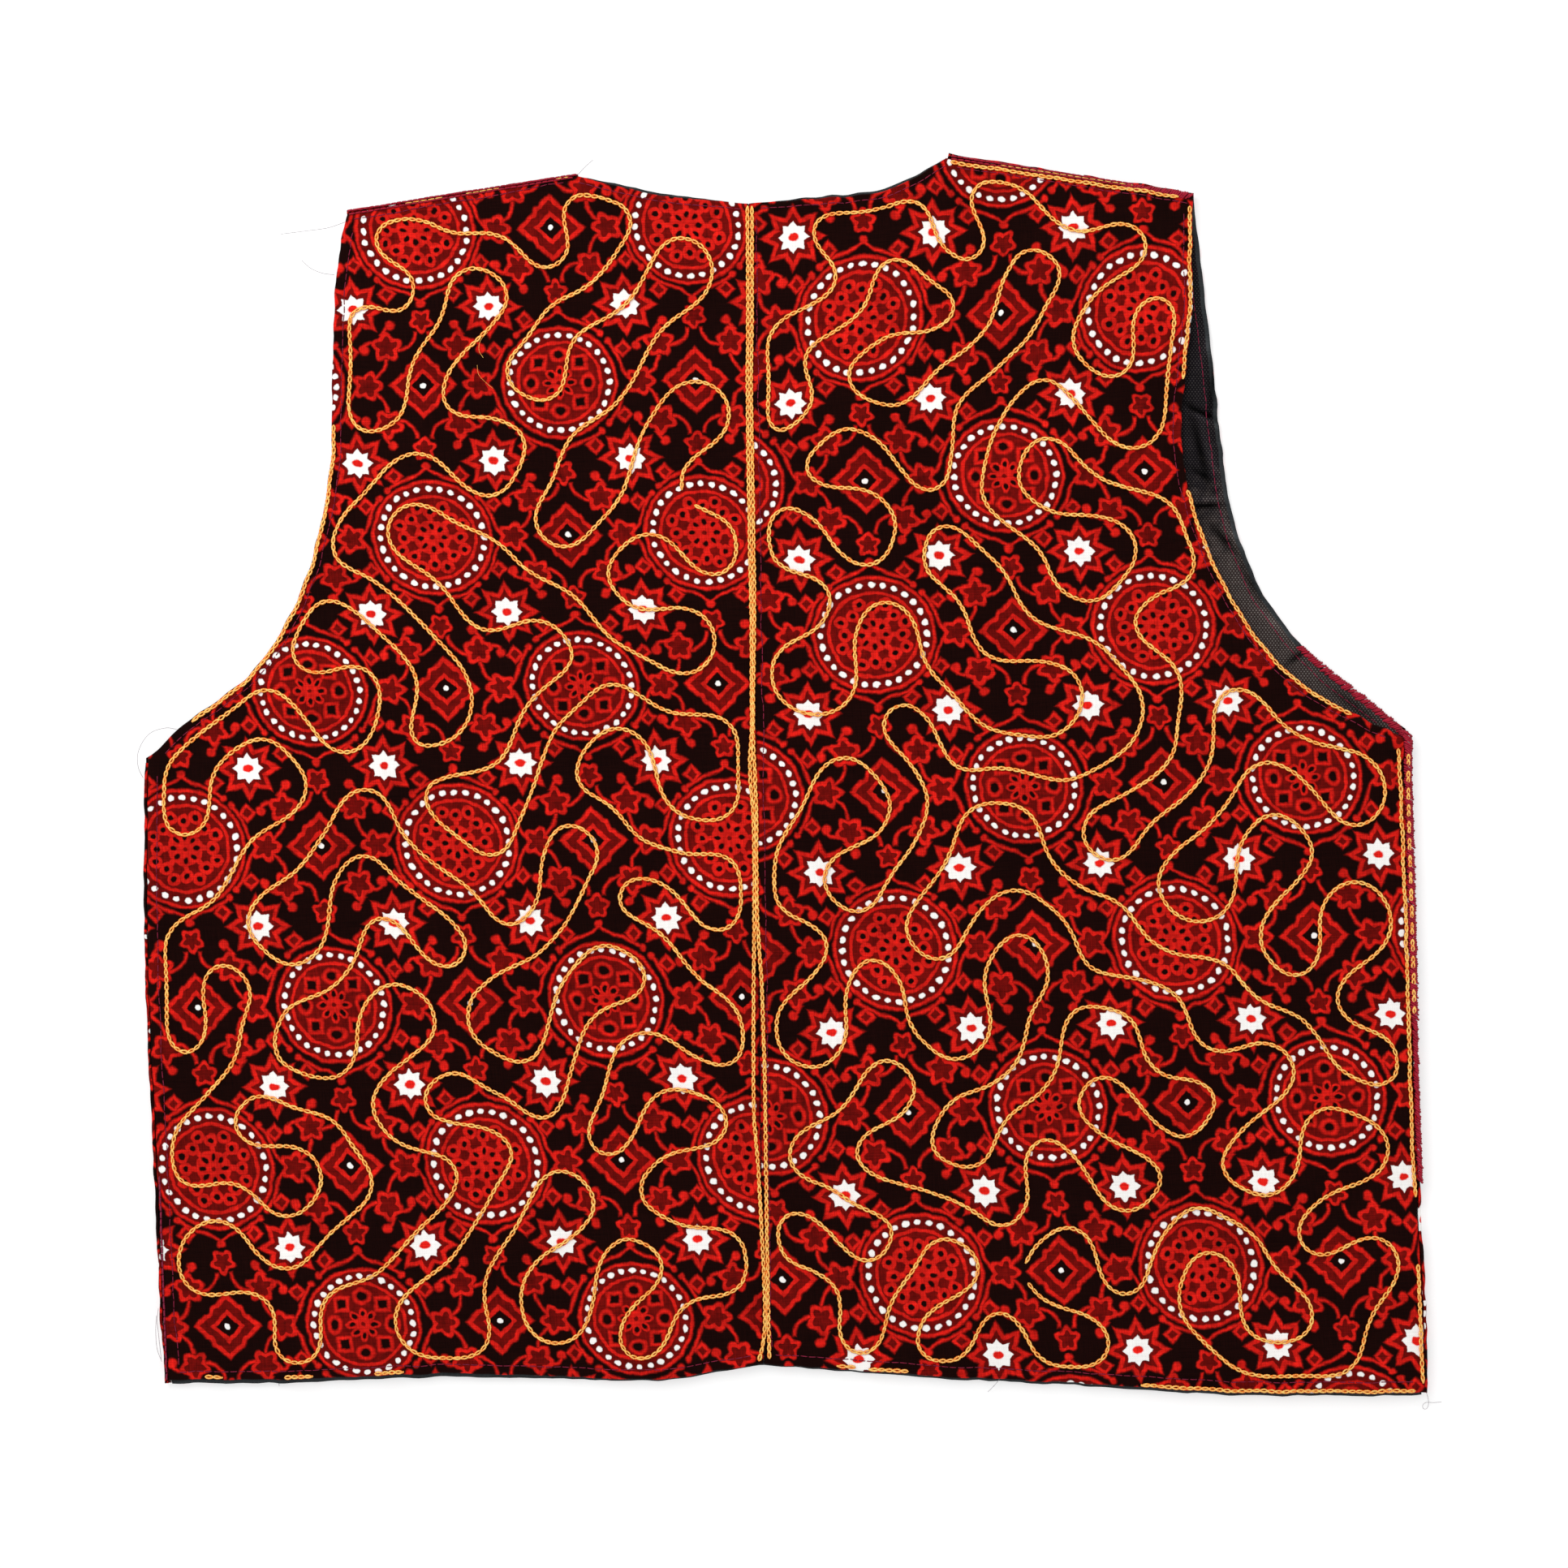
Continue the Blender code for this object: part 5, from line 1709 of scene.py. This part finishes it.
def thread_material(name, top, side, roughness):
    """Twisted thread: paler on top, deeper at its sides."""
    material, tree, shader = new_material(name)
    along, around = axes_of(tree, uv_place(tree, "thread"))
    # Painted highlight on the top of the thread's section, painted shade on its sides.
    upper = (around * math.tau).cosine()
    twist = (along * TWISTS + around).math("FRACT").fold(0.5) * 2.0
    place = add_node(tree, "ShaderNodeTexCoord").outputs["Object"]
    glints = add_noise(tree, place, GLINT_SCALE, GLINT_DETAIL, flat=False)
    lit = Field(tree, glints.outputs["Fac"]).times_plus(GLINT_CONTRAST, twist * TWIST_CONTRAST)
    pale = upper.times_plus(TOP_HIGHLIGHT_CONTRAST, lit).math("SUBTRACT", HIGHLIGHT_OFFSET, clamp=True)
    colour = mix_colour(tree, pale, side, top)
    tree.links.new(colour, shader.inputs["Base Color"])
    shader.inputs["Roughness"].default_value = roughness
    shader.inputs["Specular IOR Level"].default_value = THREAD_SPECULAR
    bump(tree, shader, twist.socket, THREAD_RELIEF)
    return material


# The materials of the sewing threads, by the name of their colour in the settings
SEWING_THREADS = {"crimson": "seam_thread", "overcast": "overcast_thread", "loose": "loose_thread"}


@functools.cache
def sewing_thread(name):
    """The material of a sewing thread, made once, with sides half as bright as its top."""
    colour = getattr(settings_of("vest_stitching"), name)
    # Painted shade: the thread's sides are half as bright as its top.
    side = [value * 0.5 for value in colour]
    return thread_material(SEWING_THREADS[name], colour, side, SEWING_ROUGHNESS)


# ---- cuts

# The cut of a piece of cloth, with the turnings at its edges, in metres and square metres; the script gives
# no piece one
Sheet = namedtuple("Sheet", "flat area rests_on")


# ---- stage

FLOOR_REACH, FLOOR_BELOW = 3.0, 0.0002      # in metres
FLOOR_SHADE = 0.60
SENSOR_WIDTH = 36.0
VIEW_MIDDLE = (-0.001, -0.004)
CLOTH_TOP = 0.006
CLIP_START, CLIP_END = 0.05, 20.0
LAMP_SIZE = 0.9
LAMP_PLACE = Vector((-0.55, 0.75, 1.1))


def make_stage(settings):
    """Floor, camera and light, which are not part of the vest."""
    white = (1.0, 1.0, 1.0, 1.0)
    floor_mesh = bpy.data.meshes.new("floor")
    corners = [(x * FLOOR_REACH, y * FLOOR_REACH, 0.0) for x, y in ((-1, -1), (1, -1), (1, 1), (-1, 1))]
    floor_mesh.from_pydata(corners, [], [(0, 1, 2, 3)])
    floor = bpy.data.objects.new("floor", floor_mesh)
    bpy.context.scene.collection.objects.link(floor)
    floor.location.z = -FLOOR_BELOW
    material, _, shader = new_material("paper_floor")
    shader.inputs["Base Color"].default_value = (FLOOR_SHADE, FLOOR_SHADE, FLOOR_SHADE, 1.0)
    shader.inputs["Roughness"].default_value = 1.0
    shader.inputs["Specular IOR Level"].default_value = 0.0
    shader.inputs["Emission Color"].default_value = white
    shader.inputs["Emission Strength"].default_value = settings.floor_glow
    floor_mesh.materials.append(material)

    camera_data = bpy.data.cameras.new("camera")
    camera_data.sensor_width = SENSOR_WIDTH
    camera_data.lens = settings.lens
    camera_data.clip_start, camera_data.clip_end = CLIP_START, CLIP_END
    camera = bpy.data.objects.new("camera", camera_data)
    bpy.context.scene.collection.objects.link(camera)
    distance = settings.view_width * settings.lens / SENSOR_WIDTH
    camera.location = (*VIEW_MIDDLE, CLOTH_TOP + distance)
    bpy.context.scene.camera = camera

    lamp_data = bpy.data.lights.new("soft_lamp", "AREA")
    lamp_data.shape, lamp_data.size = "SQUARE", LAMP_SIZE
    lamp_data.energy = settings.lamp
    lamp = bpy.data.objects.new("soft_lamp", lamp_data)
    bpy.context.scene.collection.objects.link(lamp)
    lamp.location = LAMP_PLACE
    lamp.rotation_euler = (-LAMP_PLACE).to_track_quat("-Z", "Y").to_euler()

    world = bpy.data.worlds.new("studio")
    world.use_nodes = True
    background = world.node_tree.nodes["Background"]
    background.inputs["Color"].default_value = white
    background.inputs["Strength"].default_value = settings.sky
    bpy.context.scene.world = world
    bpy.context.scene.view_settings.view_transform = "Standard"


# ---- add-on

class VEST_OT_back(bpy.types.Operator):
    """Make the two printed halves of the back"""
    bl_idname = "vest.back"
    bl_label = "Back"

    def execute(self, context):
        for side in SIDE_NAMES:
            make_back_half(side, settings_of("vest_cloth"), printed_cotton())
        return {"FINISHED"}


class VEST_OT_fronts(bpy.types.Operator):
    """Make the two printed fronts, which lie face down"""
    bl_idname = "vest.fronts"
    bl_label = "Fronts"

    def execute(self, context):
        for side in SIDE_NAMES:
            make_front(side, settings_of("vest_cloth"), printed_cotton())
        return {"FINISHED"}


class VEST_OT_lining(bpy.types.Operator):
    """Make the lining of the back and of the two fronts"""
    bl_idname = "vest.lining"
    bl_label = "Lining"

    def execute(self, context):
        material = lining_material(plain_weave())
        for node in ("lining_front_left", "lining_front_right", "lining_back"):
            make_lining(node, settings_of("vest_cloth"), material)
        return {"FINISHED"}


# First seeds of the chance in each kind of stitching
CHAIN_SEEDS = {"left": 11, "right": 111}
SEAM_AFTER, EDGES_AFTER, PAIRED_AFTER, DASHES_AFTER = 10, 20, 40, 60    # added to them
FALLEN_SEED, LOOSE_SEED = 3, 5
ROWS_SEED, FRONT_SEED, SIDE_SEED = 81, 5, 127
SHOULDER_SEED, OVERCAST_SEED = 121, 101


class VEST_OT_embroidery(bpy.types.Operator):
    """Make the golden chain stitch of the back"""
    bl_idname = "vest.embroidery"
    bl_label = "Embroidery"

    def execute(self, context):
        settings = settings_of("vest_stitching")
        gold = thread_material("chain_thread", settings.gold, settings.shaded_orange, CHAIN_ROUGHNESS)
        kind, step = chain_kind(settings), settings.link_length / MM
        for side, seed in CHAIN_SEEDS.items():
            wander = chain_row(side, wandering_line(side, step), kind, seed)
            thread_pieces(f"chain_wander_{side}", wander, kind.radius, gold, seed, side)
            seam = chain_row(side, line_of(SEAM_ROWS[side], step), kind, seed + SEAM_AFTER)
            thread_pieces(f"chain_seam_{side}", seam, kind.radius, gold, seed, side)
            edges = [chain_row(side, edge_line(row, step), kind, seed + EDGES_AFTER + index)
                     for index, row in enumerate(CHAIN_EDGES) if side_of(row.node) == side]
            if side == "right":
                line = line_of(PAIRED_LINKS, PAIRED_STEP)
                edges.append(chain_row(side, line, kind, seed + PAIRED_AFTER, PAIRED_PATTERN))
            thread_pieces(f"chain_edges_{side}", np.concatenate(edges), kind.radius, gold, seed, side)
            dashes = np.concatenate(sewn_rows(GOLD_DASHES, side, DASH, seed + DASHES_AFTER))
            thread_pieces(f"shoulder_dashes_{side}", dashes, DASH.radius, gold, seed, side)
        fallen = loose_courses(FALLEN_THREADS)
        thread_pieces("fallen_threads", fallen, LOOSE_RADIUS, gold, FALLEN_SEED, "left")
        return {"FINISHED"}


class VEST_OT_seams(bpy.types.Operator):
    """Make the running stitches inside the edges of the back and the fronts"""
    bl_idname = "vest.seams"
    bl_label = "Seams"

    def execute(self, context):
        crimson = sewing_thread("crimson")
        for side in SIDE_NAMES:
            rows = np.concatenate([
                running_row(node_surface(row.node), edge_line(row, RUNNING_STEP), RUNNING, ROWS_SEED + index)
                for index, row in enumerate(CRIMSON_EDGES) if side_of(row.node) == side])
            thread_pieces(f"seam_rows_{side}", rows, RUNNING.radius, crimson, ROWS_SEED, side)
            hidden = front_row(side, FRONT_SEED)
            thread_pieces(f"seam_front_{side}", hidden, HIDDEN_RUNNING.radius, crimson, FRONT_SEED)
        return {"FINISHED"}


class VEST_OT_overcasting(bpy.types.Operator):
    """Make the rows and turns of thick thread at the shoulders, the right armhole and the sides"""
    bl_idname = "vest.overcasting"
    bl_label = "Overcasting"

    def execute(self, context):
        thread = sewing_thread("overcast")
        for side in SIDE_NAMES:
            rows = np.concatenate(sewn_rows(SHOULDER_ROWS, side, THICK, SHOULDER_SEED))
            thread_pieces(f"shoulder_thread_{side}", rows, THICK.radius, thread, SHOULDER_SEED, side)
        rows = np.concatenate(sewn_rows(SIDE_ROWS, "left", THICK, SIDE_SEED))
        thread_pieces("side_thread", rows, THICK.radius, sewing_thread("crimson"), SIDE_SEED, "left")
        turns = [overcast_row(row, OVERCAST_SEED + index) for index, row in enumerate(OVERCASTS)]
        rows = np.concatenate(turns)
        thread_pieces("overcast_right", rows, OVERCAST.radius, thread, OVERCAST_SEED, "right")
        return {"FINISHED"}


class VEST_OT_loose_threads(bpy.types.Operator):
    """Make the loose ends of thread"""
    bl_idname = "vest.loose_threads"
    bl_label = "Loose threads"

    def execute(self, context):
        ends = loose_courses(LOOSE_THREADS)
        thread_pieces("loose_threads", ends, LOOSE_RADIUS, sewing_thread("loose"), LOOSE_SEED, "right")
        return {"FINISHED"}


class VEST_OT_sheets(bpy.types.Operator):
    """Say how each piece of cloth was cut and what it lies on"""
    bl_idname = "vest.sheets"
    bl_label = "Cuts"

    def execute(self, context):
        return {"FINISHED"}


class VEST_OT_stage(bpy.types.Operator):
    """Make the floor, the camera and the light"""
    bl_idname = "vest.stage"
    bl_label = "Stage"

    def execute(self, context):
        make_stage(settings_of("vest_stage"))
        return {"FINISHED"}


OPERATORS = [
    VEST_OT_back, VEST_OT_fronts, VEST_OT_lining, VEST_OT_embroidery, VEST_OT_seams, VEST_OT_overcasting,
    VEST_OT_loose_threads, VEST_OT_stage, VEST_OT_sheets]


class VEST_PT_panel(bpy.types.Panel):
    """Steps that make the vest"""
    bl_idname = "VEST_PT_panel"
    bl_label = "Folk Vest"
    bl_space_type = "VIEW_3D"
    bl_region_type = "UI"
    bl_category = "Vest"

    def draw(self, context):
        for operator in OPERATORS:
            self.layout.operator(operator.bl_idname)
        for name, group in SETTINGS.items():
            column = self.layout.column(heading=group.__doc__)
            for prop in group.__annotations__:
                column.prop(getattr(context.scene, name), prop)


CLASSES = [*SETTINGS.values(), *OPERATORS, VEST_PT_panel]


def register():
    for item in CLASSES:
        bpy.utils.register_class(item)
    for name, group in SETTINGS.items():
        setattr(bpy.types.Scene, name, bpy.props.PointerProperty(type=group))


def unregister():
    for name in SETTINGS:
        delattr(bpy.types.Scene, name)
    for item in reversed(CLASSES):
        bpy.utils.unregister_class(item)


def main():
    register()
    bpy.ops.vest.back()
    bpy.ops.vest.fronts()
    bpy.ops.vest.lining()
    bpy.ops.vest.embroidery()
    bpy.ops.vest.seams()
    bpy.ops.vest.overcasting()
    bpy.ops.vest.loose_threads()
    bpy.ops.vest.stage()
    bpy.ops.vest.sheets()


if __name__ == "__main__":
    main()
